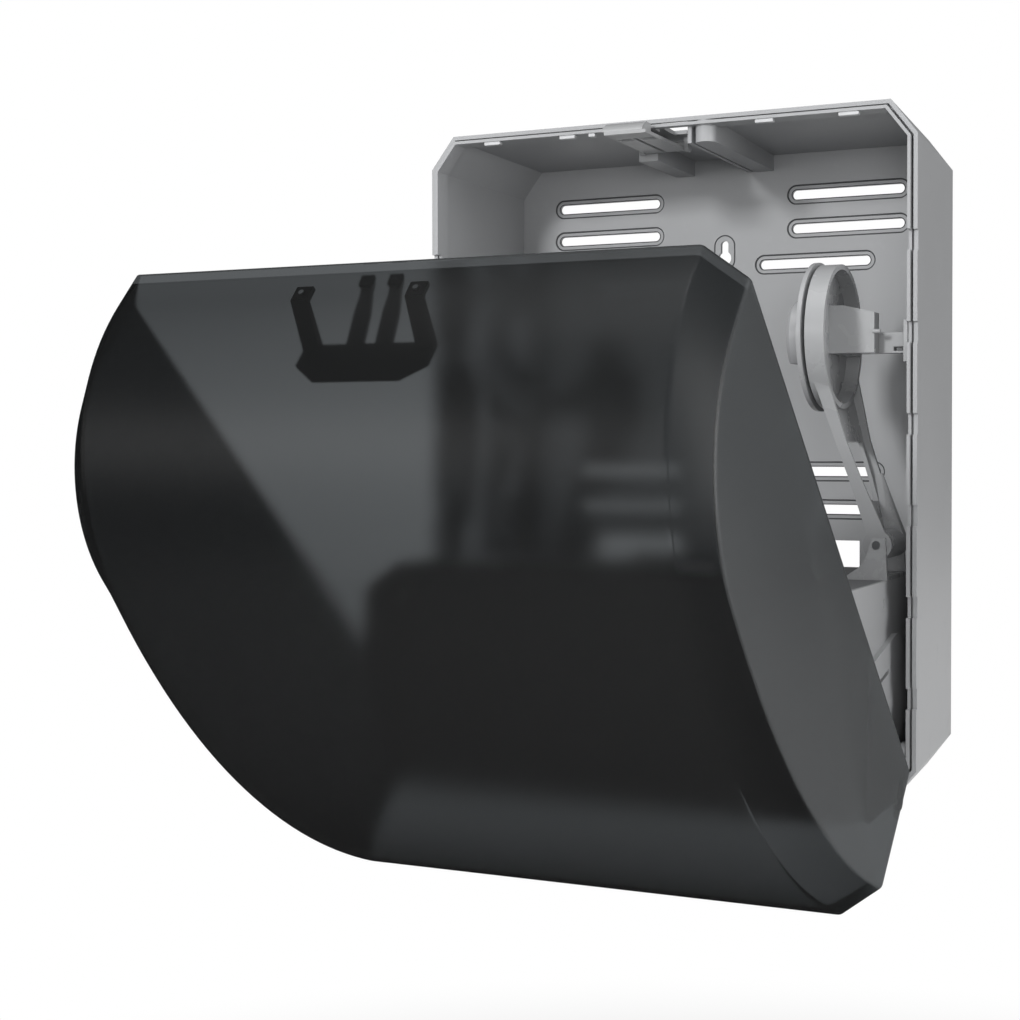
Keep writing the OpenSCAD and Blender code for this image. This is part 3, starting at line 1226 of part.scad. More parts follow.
// Pinch rollers on a sprung carrier
swing_in = swing_out - swing_t;
module pinch_shaft() color("#b4b7ba") row() x_rod(-swing_out, swing_out, pinch_y, roller_z, pinch_shaft_r);
module pinch_rollers() color("#2a2b2c") row() for (i = [-1:1]) difference() {
  x_rod(i * sleeve_pitch - sleeve_hl, i * sleeve_pitch + sleeve_hl, pinch_y, roller_z, pinch_r);
  x_rod(i * sleeve_pitch - sleeve_hl - over, i * sleeve_pitch + sleeve_hl + over, pinch_y, roller_z,
    pinch_shaft_r);
}
module pinch_carrier() color("#6d7073") row() difference() {
  union() {
    both() {
      x_rod(swing_in, swing_out, -swing_y, swing_z, eye_r);
      x_rod(swing_in, swing_out, pinch_y, roller_z, eye_r);
      block(swing_in, swing_out, -swing_y - eye_r, pinch_y + eye_r, roller_z, swing_z);
      block(swing_in, swing_out, -bar_y, pinch_y, bar_low, bar_low + bar_h);
    }
    block(-swing_out, swing_out, -bar_y, swing_t - bar_y, bar_low, bar_low + bar_h);
  }
  x_rod(-swing_out - over, swing_out + over, -swing_y, swing_z, swing_pin_r + run);
  x_rod(-swing_out - over, swing_out + over, pinch_y, roller_z, pinch_shaft_r + run);
}
bar_low = (roller_z + swing_z - bar_h) / 2;
module carrier_pins() color("#b4b7ba") row() both()
  x_rod(swing_in, plate_in + plate_t, -swing_y, swing_z, swing_pin_r);

// Bent leaf springs between the carrier's bar and the front cover
press_wall = face_r - face_y - sqrt(pow(face_r - mod_t, 2) - pow(bar_low + bar_h / 2 - face_z, 2));
press_l = -bar_y - press_wall - button_gap;
function leaf_pts(t) = [
  [0, 0], [0, bar_h * leaf_shares[0]], [press_l - t, bar_h * leaf_shares[1]], [press_l - t, bar_h],
  [press_l, bar_h], [press_l, bar_h * leaf_shares[1] - t], [t, bar_h * leaf_shares[0] - t], [t, 0]];
leaf_shares = [0.35, 0.7];
module pinch_springs() color("#b4b7ba") row() for (s = [-1, 1])
  translate([s * press_x - press_w / 2, -bar_y, bar_low]) along_x() linear_extrude(press_w)
    polygon([for (p = leaf_pts(leaf_t)) [-p[0], p[1]]]);

// Batteries, contacts and lid
module battery_cells() color("#3b4a58") row() for (y = [cell_y1, cell_y2], x = [-cell_l - nub_l, 0]) {
  x_rod(x, x + cell_l, y, cell_z, cell_r);
  x_rod(x + cell_l - over, x + cell_l + nub_l - nip, y, cell_z, nub_r);
}
module battery_contacts() color("#c9b26a") row() both() for (y = [cell_y1, cell_y2]) {
  block(bay_hw - contact_t, bay_hw, y - contact_hw, y + contact_hw, bay_floor, bay_floor + 2 * cell_r);
  x_rod(bay_hw - contact_t - bay_gap + nip, bay_hw, y, cell_z, nub_r);
}
module battery_lid() color("#7c7f82") row() difference() {
  union() {
    block(-bay_hw - bay_t / 2, bay_hw + bay_t / 2, -bay_front - bay_t, lid_y - barrel_r - button_gap,
      mod_top + button_gap / 2, mod_top + button_gap / 2 + lid_t);
    block(-lid_ear_x + lid_ear, lid_ear_x - lid_ear, lid_y - barrel_r - over, lid_y,
      mod_top + button_gap / 2, mod_top + button_gap / 2 + lid_t);
    x_rod(-lid_ear_x + lid_ear, lid_ear_x - lid_ear, lid_y, lid_z, barrel_r - button_gap / 2);
  }
  x_rod(-lid_ear_x, lid_ear_x, lid_y, lid_z, lid_pin_r + run);
  block(-grip_hw, grip_hw, -bay_front - bay_t - over, -bay_front + bay_t, mod_top, mod_top + 2 * lid_t);
}
module lid_pin() color("#b4b7ba") row()
  x_rod(-lid_ear_x - lid_ear / 2, lid_ear_x + lid_ear / 2, lid_y, lid_z, lid_pin_r);

// Control board
module control_board() color("#2f6b45") row() difference() {
  block(board_x - board_w / 2, board_x + board_w / 2, -board_y - board_t, -board_y, board_low,
    board_low + board_h);
  for (z = board_posts) for (x = board_posts_x) y_rod(x, -board_y - 2 * board_t, -board_y + over, z, small_r);
}
chip_shares = [[0.5, 0.55, 0.3, 0.2, 3], [0.3, 0.3, 0.18, 0.1, 2], [0.68, 0.25, 0.24, 0.08, 5],
  [0.3, 0.8, 0.1, 0.06, 6], [0.7, 0.82, 0.12, 0.07, 4]];
module board_parts() color("#1d1e20") row() for (c = chip_shares)
  block(board_x - board_w / 2 + (c[0] - c[2] / 2) * board_w, board_x - board_w / 2 + (c[0] + c[2] / 2) * board_w,
    -board_y - board_t * (1 + c[4] / 2), -board_y - board_t,
    board_low + (c[1] - c[3] / 2) * board_h, board_low + (c[1] + c[3] / 2) * board_h);
module board_screws() color("#b4b7ba") row() for (z = board_posts) for (x = board_posts_x) {
  y_rod(x, -board_y - board_t - small_head_t, -board_y - board_t, z, small_head_r);
  y_rod(x, -board_y - board_t, small_l - over - board_y, z, small_r);
}

// Sensor, lamp, button and switch
module sensor_window() color("#17181a") row()
  z_rod(sensor_x, sensor_y, mod_low, mod_low + mod_t + step_h, eye_window_r);
module indicator_lens() color("#7ec96a") row()
  z_rod(sensor_x + 4 * eye_window_r, sensor_y, mod_low, mod_low + mod_t + step_h, lamp_r);
module feed_button() color("#d9dadb") row() {
  block(button_x - button_hw, button_x + button_hw, button_y - button_hd, button_y + button_hd,
    face_top - mod_t - step_h, face_top + button_out);
  block(button_x - button_hw - step_h, button_x + button_hw + step_h, button_y - button_hd - step_h,
    button_y + button_hd + step_h, face_top - 2 * mod_t, face_top - mod_t - step_h / 4);
}
module mode_switch() color("#d9dadb") row() {
  block(switch_x - knob_hw, switch_x + knob_hw, button_y - knob_hw / 2, button_y + knob_hw / 2,
    face_top - mod_t - step_h, face_top + button_out / 2);
  block(switch_x - 2 * knob_hw, switch_x + 2 * knob_hw, button_y - knob_hw, button_y + knob_hw,
    face_top - 2 * mod_t, face_top - mod_t - step_h / 4);
}

back_housing();
cover_shell();
hinge_pins();
cover_catch();
catch_hooks();
catch_screws();
latch_plate();
latch_pin();
left_stay();
right_stay();
left_arm();
right_arm();
left_hub();
right_hub();
left_axle();
right_axle();
left_arm_base();
right_arm_base();
arm_pins();
arm_springs();
module_chassis();
left_side_cover();
right_side_cover();
module_front();
module_screws();
front_screws();
side_screws();
drive_motor();
motor_shaft();
motor_pinion();
idler_gear();
idler_pin();
roller_gear();
drive_shaft();
roller_sleeves();
shaft_bushes();
pinch_shaft();
pinch_rollers();
pinch_carrier();
carrier_pins();
pinch_springs();
tear_bar();
paper_guide();
battery_lid();
lid_pin();
battery_cells();
battery_contacts();
control_board();
board_parts();
board_screws();
sensor_window();
indicator_lens();
feed_button();
mode_switch();
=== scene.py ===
"""Roll towel dispenser with its tinted cover let down: finishes, cover glazing, light and camera."""
import json
import math

import bpy
from mathutils import Matrix, Vector

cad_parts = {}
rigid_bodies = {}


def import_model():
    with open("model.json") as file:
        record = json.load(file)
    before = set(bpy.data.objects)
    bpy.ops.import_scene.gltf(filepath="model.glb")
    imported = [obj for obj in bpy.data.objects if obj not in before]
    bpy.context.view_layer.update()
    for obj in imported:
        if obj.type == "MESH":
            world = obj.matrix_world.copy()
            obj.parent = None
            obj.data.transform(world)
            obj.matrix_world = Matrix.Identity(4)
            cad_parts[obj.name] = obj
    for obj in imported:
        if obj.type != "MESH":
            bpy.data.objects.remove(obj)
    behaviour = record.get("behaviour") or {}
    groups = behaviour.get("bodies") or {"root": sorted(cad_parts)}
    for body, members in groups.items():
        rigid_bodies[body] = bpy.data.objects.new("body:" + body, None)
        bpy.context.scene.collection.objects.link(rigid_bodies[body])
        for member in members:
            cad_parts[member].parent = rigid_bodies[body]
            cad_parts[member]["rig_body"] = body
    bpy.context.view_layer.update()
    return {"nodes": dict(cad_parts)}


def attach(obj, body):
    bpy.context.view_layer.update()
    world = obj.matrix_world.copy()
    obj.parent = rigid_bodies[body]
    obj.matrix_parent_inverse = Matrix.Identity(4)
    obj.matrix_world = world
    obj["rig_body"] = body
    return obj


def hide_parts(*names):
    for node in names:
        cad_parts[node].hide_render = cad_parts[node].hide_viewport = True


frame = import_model()
MM = 0.001
DRAFT_Z = 3.0

# Cover sizes in millimetres, for the closed cover, heights from the rim's lower edge
BODY_D, BODY_H, HALF_W = 119.0, 400.0, 156.0
BEVEL_X, BEVEL_Z = 15.5, 20.0
HINGE_Y, HINGE_Z, OPEN_ANGLE = -144.0, 9.0, 49.0
COVER_REAR = -BODY_D - 1.5
COVER_WALL, FLANGE_WALL, FLANGE_H = 2.6, 5.0, 12.0
COVER_ROUND, COVER_EDGE_ROUND = 1.4, 0.35
FRONT_PROFILE = {"x": HALF_W - BEVEL_X, "top": BODY_H, "out": 22.0, "radius": 105.9, "sweep": 72.7,
                 "toe": 109.6, "low": 35.8}
SIDE_PROFILE = {"x": HALF_W, "top": BODY_H - BEVEL_Z, "out": 32.3, "radius": 82.7, "sweep": 79.8,
                "toe": 85.9, "low": 23.8}
SIDE_FOOT = (COVER_REAR - 6.5, 10.0)
LINE_STEPS = {"shoulder": 28, "front": 30}


# Shader sums
class Wire:
    """An output socket that can be added, scaled and compared."""

    def __init__(self, tree, socket):
        self.tree, self.socket = tree, socket

    def sum_with(self, operation, first, second):
        return self.tree.node("ShaderNodeMath", {"operation": operation}, {0: first, 1: second})

    def __add__(self, other):
        return self.sum_with("ADD", self, other)

    def __sub__(self, other):
        return self.sum_with("SUBTRACT", self, other)

    def __mul__(self, other):
        return self.sum_with("MULTIPLY", self, other)

    def __abs__(self):
        return self.tree.node("ShaderNodeMath", {"operation": "ABSOLUTE"}, {0: self})

    def over(self, level):
        return self.sum_with("GREATER_THAN", self, level)

    def limited(self):
        return self.sum_with("MINIMUM", self.sum_with("MAXIMUM", self, 0.0), 1.0)

    def eased(self, low, high):
        """0 below low, 1 above high, smooth between."""
        return self.tree.node("ShaderNodeMapRange", {"interpolation_type": "SMOOTHSTEP"},
                              {"Value": self, "From Min": low, "From Max": high})


class Finish:
    """A material's node tree, made in a few calls."""

    def __init__(self, name):
        self.material = bpy.data.materials.new(name)
        self.material.use_nodes = True
        self.nodes = self.material.node_tree.nodes
        self.links = self.material.node_tree.links
        self.nodes.clear()
        self.end = self.nodes.new("ShaderNodeOutputMaterial")
        self.place = self.node("ShaderNodeTexCoord", {}, {}, "Object")

    def node(self, kind, settings, inputs, output=0):
        made = self.nodes.new(kind)
        for key, value in settings.items():
            if key == "stops":
                ramp = made.color_ramp
                while len(ramp.elements) < len(value):
                    ramp.elements.new(0.5)
                for element, (place, colour) in zip(ramp.elements, value):
                    element.position = place
                    element.color = colour
            else:
                setattr(made, key, value)
        for key, value in inputs.items():
            self.feed(made.inputs[key], value)
        return Wire(self, made.outputs[output])

    def feed(self, socket, value):
        if isinstance(value, Wire):
            self.links.new(value.socket, socket)
        else:
            socket.default_value = value

    def noise(self, scale, detail=3.0, rough=0.55, place=None):
        return self.node("ShaderNodeTexNoise", {}, {"Vector": place or self.place, "Scale": scale,
                                                    "Detail": detail, "Roughness": rough})

    def stretched(self, stretch):
        return self.node("ShaderNodeMapping", {}, {"Vector": self.place, "Scale": stretch})

    def axis(self, letter):
        return self.node("ShaderNodeSeparateXYZ", {}, {"Vector": self.place}, letter)

    def mix(self, share, first, second):
        made = self.nodes.new("ShaderNodeMix")
        made.data_type = "RGBA"
        sockets = {s.identifier: s for s in made.inputs}
        self.feed(sockets["Factor_Float"], share)
        self.feed(sockets["A_Color"], first)
        self.feed(sockets["B_Color"], second)
        result = [s for s in made.outputs if s.identifier == "Result_Color"][0]
        return Wire(self, result)

    def bump(self, height, strength, distance):
        return self.node("ShaderNodeBump", {}, {"Height": height, "Strength": strength,
                                                "Distance": distance}, "Normal")

    def surface(self, sockets):
        made = self.nodes.new("ShaderNodeBsdfPrincipled")
        for key, value in sockets.items():
            self.feed(made.inputs[key], value)
        self.links.new(made.outputs[0], self.end.inputs["Surface"])


def tinted(colour, share):
    return tuple(c * share for c in colour[:3]) + (1.0,)


def moulded(name, colour, rough=0.42, grain=0.12, grain_scale=2600.0, cloud=0.06):
    """Moulded plastic: fine spark texture, slow tone drift, light scuffs."""
    f = Finish(name)
    drift = f.noise(9.0, 4.0)
    scuff = f.noise(55.0, 8.0, 0.7).eased(0.56, 0.74)
    speck = f.noise(grain_scale, 2.0)
    tone = f.mix(drift, tinted(colour, 1 - cloud), tinted(colour, 1 + cloud))
    tone = f.mix(scuff * 0.22, tone, tinted(colour, 1.22))
    f.surface({"Base Color": tone, "Roughness": drift * 0.1 + scuff * 0.12 + (rough - 0.05),
               "Specular IOR Level": 0.45, "Normal": f.bump(speck + scuff * 0.4, grain, 0.0002)})
    return f.material


def metal(name, colour, rough=0.3, stretch=(60.0, 900.0, 900.0)):
    """Plated or drawn metal with fine lines along one direction."""
    f = Finish(name)
    lines = f.noise(1.0, 3.0, place=f.stretched(stretch))
    stain = f.noise(70.0, 5.0).eased(0.5, 0.8)
    tone = f.mix(stain, colour, tinted(colour, 0.72))
    f.surface({"Base Color": tone, "Metallic": 1.0, "Roughness": lines * 0.18 + stain * 0.15 + (rough - 0.08),
               "Normal": f.bump(lines, 0.15, 0.0001)})
    return f.material


def rubbery(name, colour):
    """Ground rubber with dust on it."""
    f = Finish(name)
    grind = f.noise(1.0, 4.0, place=f.stretched((900.0, 300.0, 300.0)))
    dust = f.noise(40.0, 6.0).eased(0.45, 0.75)
    tone = f.mix(dust * 0.35, colour, (0.13, 0.13, 0.125, 1.0))
    f.surface({"Base Color": tone, "Roughness": dust * 0.12 + 0.72, "Normal": f.bump(grind, 0.3, 0.0003)})
    return f.material


# Cover glazing: wall roughness range, refraction, and the shares of haze, painted reflection and sheen over
# the cover
WALL_ROUGHS, WALL_IOR = (0.19, 0.22), 1.2
# The flank share of the diffuse layer is painted reflection: it lightens the side faces to stand in for the
# glancing reflection on them
HAZE_COLOUR, HAZE_BASE, FLANK_PAINTED_REFLECTION, HAZE_LIP = (0.5, 0.53, 0.55, 1.0), 0.006, 0.105, 0.06
SHEEN_ROUGH, SHEEN_BASE, SHEEN_FLANK = 0.4, 0.017, 0.035
SMOKE_COLOUR, SMOKE_DENSITY = (0.01, 0.038, 0.055, 1.0), 880.0
WHITE = (1.0, 1.0, 1.0, 1.0)
# Where the flank's painted reflection and the lip's haze fade in, inwards from the side face and behind the
# rear edge
FLANK_FADE = (1.6, 0.1)
LIP_FADE = (6.5, 6.0)


def smoke_glazing():
    """Tinted cover: absorbs along the way through each wall, so slanting and thick walls show darker."""
    f = Finish("cover_smoke_tint")
    turn = math.radians(OPEN_ANGLE)
    up, back = f.axis("Z") - (HINGE_Z - DRAFT_Z) * MM, f.axis("Y") - HINGE_Y * MM
    height = up * math.cos(turn) - back * math.sin(turn) + (HINGE_Z - DRAFT_Z) * MM
    depth = back * math.cos(turn) + up * math.sin(turn) + HINGE_Y * MM
    outwards = abs(f.axis("X"))
    flank = outwards.eased(*((HALF_W - inset) * MM for inset in FLANK_FADE))
    behind = depth.eased(*((COVER_REAR - inset) * MM for inset in LIP_FADE))
    rear_lip = behind * height.over((BODY_H - BEVEL_Z - DRAFT_Z) * MM)

    def between(share, first, second):
        return f.node("ShaderNodeMixShader", {}, {0: share, 1: first, 2: second})

    def wall(rough):
        return f.node("ShaderNodeBsdfRefraction", {}, {"Color": WHITE, "Roughness": rough, "IOR": WALL_IOR})

    clear = between(f.noise(6.0, 3.0), *(wall(rough) for rough in WALL_ROUGHS))
    haze_and_painted_reflection = f.node("ShaderNodeBsdfDiffuse", {}, {"Color": HAZE_COLOUR})
    sheen = f.node("ShaderNodeBsdfAnisotropic", {}, {"Color": WHITE, "Roughness": SHEEN_ROUGH})
    # On the flanks the diffuse layer is painted reflection that lightens the side faces; the base and lip
    # shares are haze
    clear_with_diffuse = between(flank * FLANK_PAINTED_REFLECTION + rear_lip * HAZE_LIP + HAZE_BASE, clear, haze_and_painted_reflection)
    mixed = between(flank * SHEEN_FLANK + SHEEN_BASE, clear_with_diffuse, sheen)
    f.links.new(mixed.socket, f.end.inputs["Surface"])
    smoke = f.node("ShaderNodeVolumeAbsorption", {}, {"Color": SMOKE_COLOUR, "Density": SMOKE_DENSITY})
    f.links.new(smoke.socket, f.end.inputs["Volume"])
    return f.material


def gloss(name, colour, rough=0.18):
    """Coated or clear plastic with hairline scratches."""
    f = Finish(name)
    drift = f.noise(25.0, 4.0)
    hair = f.noise(1.0, 6.0, 0.8, place=f.stretched((40.0, 700.0, 700.0))).eased(0.6, 0.72)
    tone = f.mix(drift, tinted(colour, 0.93), tinted(colour, 1.07))
    f.surface({"Base Color": tone, "Roughness": hair * 0.12 + rough, "Coat Weight": 0.3,
               "Normal": f.bump(hair, 0.05, 0.0001)})
    return f.material


HOUSING = (0.335, 0.34, 0.348, 1.0)
finishes = {
    "housing": moulded("housing_grey_abs", HOUSING, 0.4, 0.1),
    "catch": moulded("catch_grey_acetal", (0.2, 0.205, 0.21, 1.0), 0.4, 0.08, 1800.0, 0.1),
    "hook": moulded("hook_black_acetal", (0.006, 0.006, 0.007, 1.0), 0.45, 0.08, 1800.0, 0.1),
    "latch": moulded("latch_grey_acetal", (0.33, 0.335, 0.34, 1.0), 0.3, 0.05, 2200.0),
    "holder": moulded("holder_grey_abs", (0.32, 0.325, 0.332, 1.0), 0.27, 0.05),
    "hub": moulded("hub_grey_acetal", (0.33, 0.334, 0.342, 1.0), 0.22, 0.03, 2400.0),
    "chassis": moulded("chassis_dark_abs", (0.1, 0.103, 0.108, 1.0), 0.5, 0.12),
    "side": moulded("side_cover_grey_abs", (0.34, 0.345, 0.353, 1.0), 0.42, 0.1),
    "front": moulded("module_front_dark_abs", (0.05, 0.052, 0.055, 1.0), 0.45, 0.1),
    "lid": moulded("lid_dark_abs", (0.09, 0.093, 0.097, 1.0), 0.45, 0.1),
    "gear": moulded("gear_natural_acetal", (0.66, 0.64, 0.57, 1.0), 0.35, 0.03, 1500.0),
    "button": moulded("button_light_abs", (0.55, 0.555, 0.56, 1.0), 0.35, 0.06),
    "board": gloss("board_green_coat", (0.03, 0.14, 0.06, 1.0), 0.3),
    "chip": moulded("chip_black_epoxy", (0.014, 0.014, 0.015, 1.0), 0.5, 0.1),
    "cell": gloss("cell_wrapper_blue_grey", (0.05, 0.07, 0.1, 1.0), 0.25),
    "window": gloss("sensor_black_window", (0.01, 0.01, 0.012, 1.0), 0.08),
    "lens": gloss("lamp_green_lens", (0.16, 0.45, 0.14, 1.0), 0.12),
    "steel": metal("zinc_plated_steel", (0.56, 0.57, 0.58, 1.0), 0.32),
    "blade": metal("stamped_steel_blade", (0.6, 0.61, 0.62, 1.0), 0.28, (30.0, 700.0, 1200.0)),
    "motor": metal("motor_can_plate", (0.5, 0.51, 0.52, 1.0), 0.35, (900.0, 80.0, 80.0)),
    "brass": metal("turned_brass", (0.62, 0.47, 0.2, 1.0), 0.3, (900.0, 90.0, 90.0)),
    "rubber": rubbery("ground_black_rubber", (0.02, 0.02, 0.021, 1.0)),
    "tint": smoke_glazing(),
    # Dark finish for the lines that paint the shade in the slot dishes' grooves
    "groove": moulded("painted_groove_shadow", (0.07, 0.072, 0.075, 1.0), 0.6, 0.05),
    # Lighter than the housing's own grey: a painted highlight where the lip's tabs catch the light
    "tab": moulded("tab_painted_highlight_grey", (0.5, 0.505, 0.515, 1.0), 0.3, 0.04),
}
node_finish = {
    "housing": ["back_housing"],
    "catch": ["cover_catch"],
    "hook": ["catch_hooks"],
    "latch": ["latch_plate"],
    "holder": ["left_stay", "right_stay", "left_arm", "right_arm", "left_arm_base", "right_arm_base"],
    "hub": ["left_hub", "right_hub"],
    "chassis": ["module_chassis", "pinch_carrier"],
    "side": ["left_side_cover", "right_side_cover"],
    "front": ["module_front", "paper_guide"],
    "lid": ["battery_lid"],
    "gear": ["idler_gear", "roller_gear", "shaft_bushes"],
    "button": ["feed_button", "mode_switch"],
    "board": ["control_board"],
    "chip": ["board_parts"],
    "cell": ["battery_cells"],
    "window": ["sensor_window"],
    "lens": ["indicator_lens"],
    "steel": ["hinge_pins", "catch_screws", "latch_pin", "left_axle", "right_axle", "arm_pins", "arm_springs",
              "module_screws", "front_screws", "side_screws", "motor_shaft", "idler_pin", "drive_shaft",
              "pinch_shaft", "carrier_pins", "pinch_springs", "lid_pin", "board_screws"],
    "blade": ["tear_bar"],
    "motor": ["drive_motor"],
    "brass": ["motor_pinion", "battery_contacts"],
    "rubber": ["roller_sleeves", "pinch_rollers"],
}


def dress(obj, finish):
    obj.data.materials.clear()
    obj.data.materials.append(finishes[finish])


for finish, names in node_finish.items():
    for name in names:
        dress(frame["nodes"][name], finish)
dress(frame["nodes"]["cover_shell"], "tint")


# Modelling helpers. NEAR and MERGE are in metres, the angles in degrees.
NEAR, MERGE = 0.000001, 0.00001
FLAT_ANGLE, SHARP_ANGLE, SMOOTH_ANGLE, MOULD_ANGLE = 0.6, 30.0, 32.0, 35.0


def nothing_selected():
    for obj in bpy.context.view_layer.objects:
        obj.select_set(False)
    bpy.context.view_layer.objects.active = None


def only(obj):
    nothing_selected()
    obj.select_set(True)
    bpy.context.view_layer.objects.active = obj


def apply_modifier(obj, kind, **settings):
    only(obj)
    modifier = obj.modifiers.new(kind.lower(), kind)
    for key, value in settings.items():
        setattr(modifier, key, value)
    bpy.ops.object.modifier_apply(modifier=modifier.name)


def edges_rounded(obj, width, segments=2, angle=SHARP_ANGLE):
    apply_modifier(obj, "BEVEL", width=width * MM, segments=segments, limit_method="ANGLE",
                   angle_limit=math.radians(angle), use_clamp_overlap=True)


def smoothed(obj, angle=SMOOTH_ANGLE):
    only(obj)
    bpy.ops.object.shade_smooth_by_angle(angle=math.radians(angle))


def softened(node, width, finish):
    """A copy of a CAD piece with its doubles merged and its edges rounded as a mould rounds them."""
    source = frame["nodes"][node]
    copy = bpy.data.objects.new(node + "_moulded", source.data.copy())
    bpy.context.scene.collection.objects.link(copy)
    only(copy)
    bpy.ops.object.mode_set(mode="EDIT")
    bpy.ops.mesh.select_all(action="SELECT")
    bpy.ops.mesh.remove_doubles(threshold=MERGE / 2)
    bpy.ops.mesh.dissolve_limited(angle_limit=math.radians(FLAT_ANGLE))
    bpy.ops.object.mode_set(mode="OBJECT")
    edges_rounded(copy, width, angle=MOULD_ANGLE)
    smoothed(copy)
    apply_modifier(copy, "WEIGHTED_NORMAL", keep_sharp=True, weight=90)
    dress(copy, finish)
    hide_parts(node)
    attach(copy, source["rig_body"])
    return copy


def row_place(x, y, z):
    return Vector((x, y, z - DRAFT_Z)) * MM


def draw_profile(name, side, x, top, out, radius, sweep, toe, low):
    """One line of the cover from its top rear edge over the shoulder and down the long arc."""
    shoulder = Vector((-(BODY_D + out), top - radius))
    turn = math.radians(90 + sweep)
    outward = Vector((math.cos(turn), math.sin(turn)))
    way = Vector((-(BODY_D + toe), low)) - shoulder - radius * outward
    long_radius = -way.dot(way) / (2 * way.dot(outward))
    long_centre = shoulder + (radius - long_radius) * outward
    end = math.pi - math.asin((low - long_centre.y) / long_radius)
    nothing_selected()
    bpy.ops.mesh.primitive_plane_add(size=0.01, location=(0, 0, 0))
    line = bpy.context.object
    line.name = name
    bpy.ops.object.mode_set(mode="EDIT")
    bpy.ops.mesh.merge(type="CENTER")
    bpy.ops.transform.translate(value=row_place(side * x, COVER_REAR, top))
    bpy.ops.mesh.extrude_region_move(
        TRANSFORM_OT_translate={"value": (0, (shoulder.x - COVER_REAR) * MM, 0)})
    bpy.ops.mesh.spin(steps=LINE_STEPS["shoulder"], angle=-math.radians(sweep), axis=(1, 0, 0),
                      center=row_place(side * x, shoulder.x, shoulder.y))
    bpy.ops.mesh.spin(steps=LINE_STEPS["front"], angle=turn - end, axis=(1, 0, 0),
                      center=row_place(side * x, long_centre.x, long_centre.y))
    bpy.ops.object.mode_set(mode="OBJECT")
    return line


def joined(name, pieces):
    """The pieces as one object, under the first one's origin."""
    nothing_selected()
    for piece in pieces:
        piece.select_set(True)
    bpy.context.view_layer.objects.active = pieces[0]
    bpy.ops.object.join()
    pieces[0].name = name
    return pieces[0]


def pick(obj, wanted, kind="VERT"):
    """Select the vertices, edges or faces that answer to a test, in edit mode."""
    bpy.ops.object.mode_set(mode="OBJECT")
    mesh = obj.data
    for group in (mesh.polygons, mesh.edges, mesh.vertices):
        for item in group:
            item.select = False
    items = {"VERT": mesh.vertices, "EDGE": mesh.edges, "FACE": mesh.polygons}[kind]
    for item in items:
        item.select = bool(wanted(item))
    bpy.ops.object.mode_set(mode="EDIT")
    bpy.ops.mesh.select_mode(type=kind)


def cover_skin():
    """The cover's outside, closed, as one sheet: two flat sides, two bevels and the long front."""
    lines = [draw_profile("cover_line", side, **profile)
             for side, profile in ((-1, SIDE_PROFILE), (-1, FRONT_PROFILE),
                                   (1, FRONT_PROFILE), (1, SIDE_PROFILE))]
    sheet = joined("cover_shell_moulded", lines)
    points = sheet.data.vertices
    bands = ((-HALF_W, -FRONT_PROFILE["x"]), (-FRONT_PROFILE["x"], FRONT_PROFILE["x"]),
             (FRONT_PROFILE["x"], HALF_W))
    for band in bands:
        pick(sheet, lambda e: min(abs(points[e.vertices[0]].co.x - x * MM) for x in band) < NEAR
             and points[e.vertices[0]].co.x == points[e.vertices[1]].co.x, "EDGE")
        bpy.ops.mesh.bridge_edge_loops(type="PAIRS")
    for side in (-1, 1):
        x = side * HALF_W * MM
        rear = row_place(side * HALF_W, COVER_REAR, SIDE_PROFILE["top"])
        low = row_place(side * HALF_W, -(BODY_D + SIDE_PROFILE["toe"]), SIDE_PROFILE["low"])
        pick(sheet, lambda v: (v.co - low).length < MERGE)
        bpy.ops.mesh.extrude_region_move(TRANSFORM_OT_translate={"value": (
            row_place(side * HALF_W, *SIDE_FOOT) - low)})
        bpy.ops.mesh.extrude_region_move(TRANSFORM_OT_translate={"value": (
            rear - row_place(side * HALF_W, *SIDE_FOOT))})
        pick(sheet, lambda v: abs(v.co.x - x) < NEAR)
        bpy.ops.mesh.remove_doubles(threshold=MERGE)
        bpy.ops.mesh.edge_face_add()
    bpy.ops.object.mode_set(mode="OBJECT")
    return sheet


def sized(obj, size, place):
    """Scale and move the mesh of a fresh primitive, so that the object itself stays at the origin."""
    only(obj)
    obj.scale = [value * MM for value in size]
    obj.location = place
    bpy.ops.object.transform_apply(location=True, rotation=True, scale=True)


# Ears round the hinge pins, and the pegs that stop the open cover
EAR_W, EAR_R, EAR_BORE_R, EAR_GAP = 2.9, 6.0, 3.05, 0.05
EAR_ROOT_H, EAR_ROOT_RISE = 1.3 * EAR_R, 1.35 * EAR_R
PEG_R, PEG_REACH, PEG_L, PEG_GAP, PEG_ROUND = 1.8, 11.0, 7.0, 0.3, 0.4
STOP_R, STOP_ANGLE = 2.5, 215.0


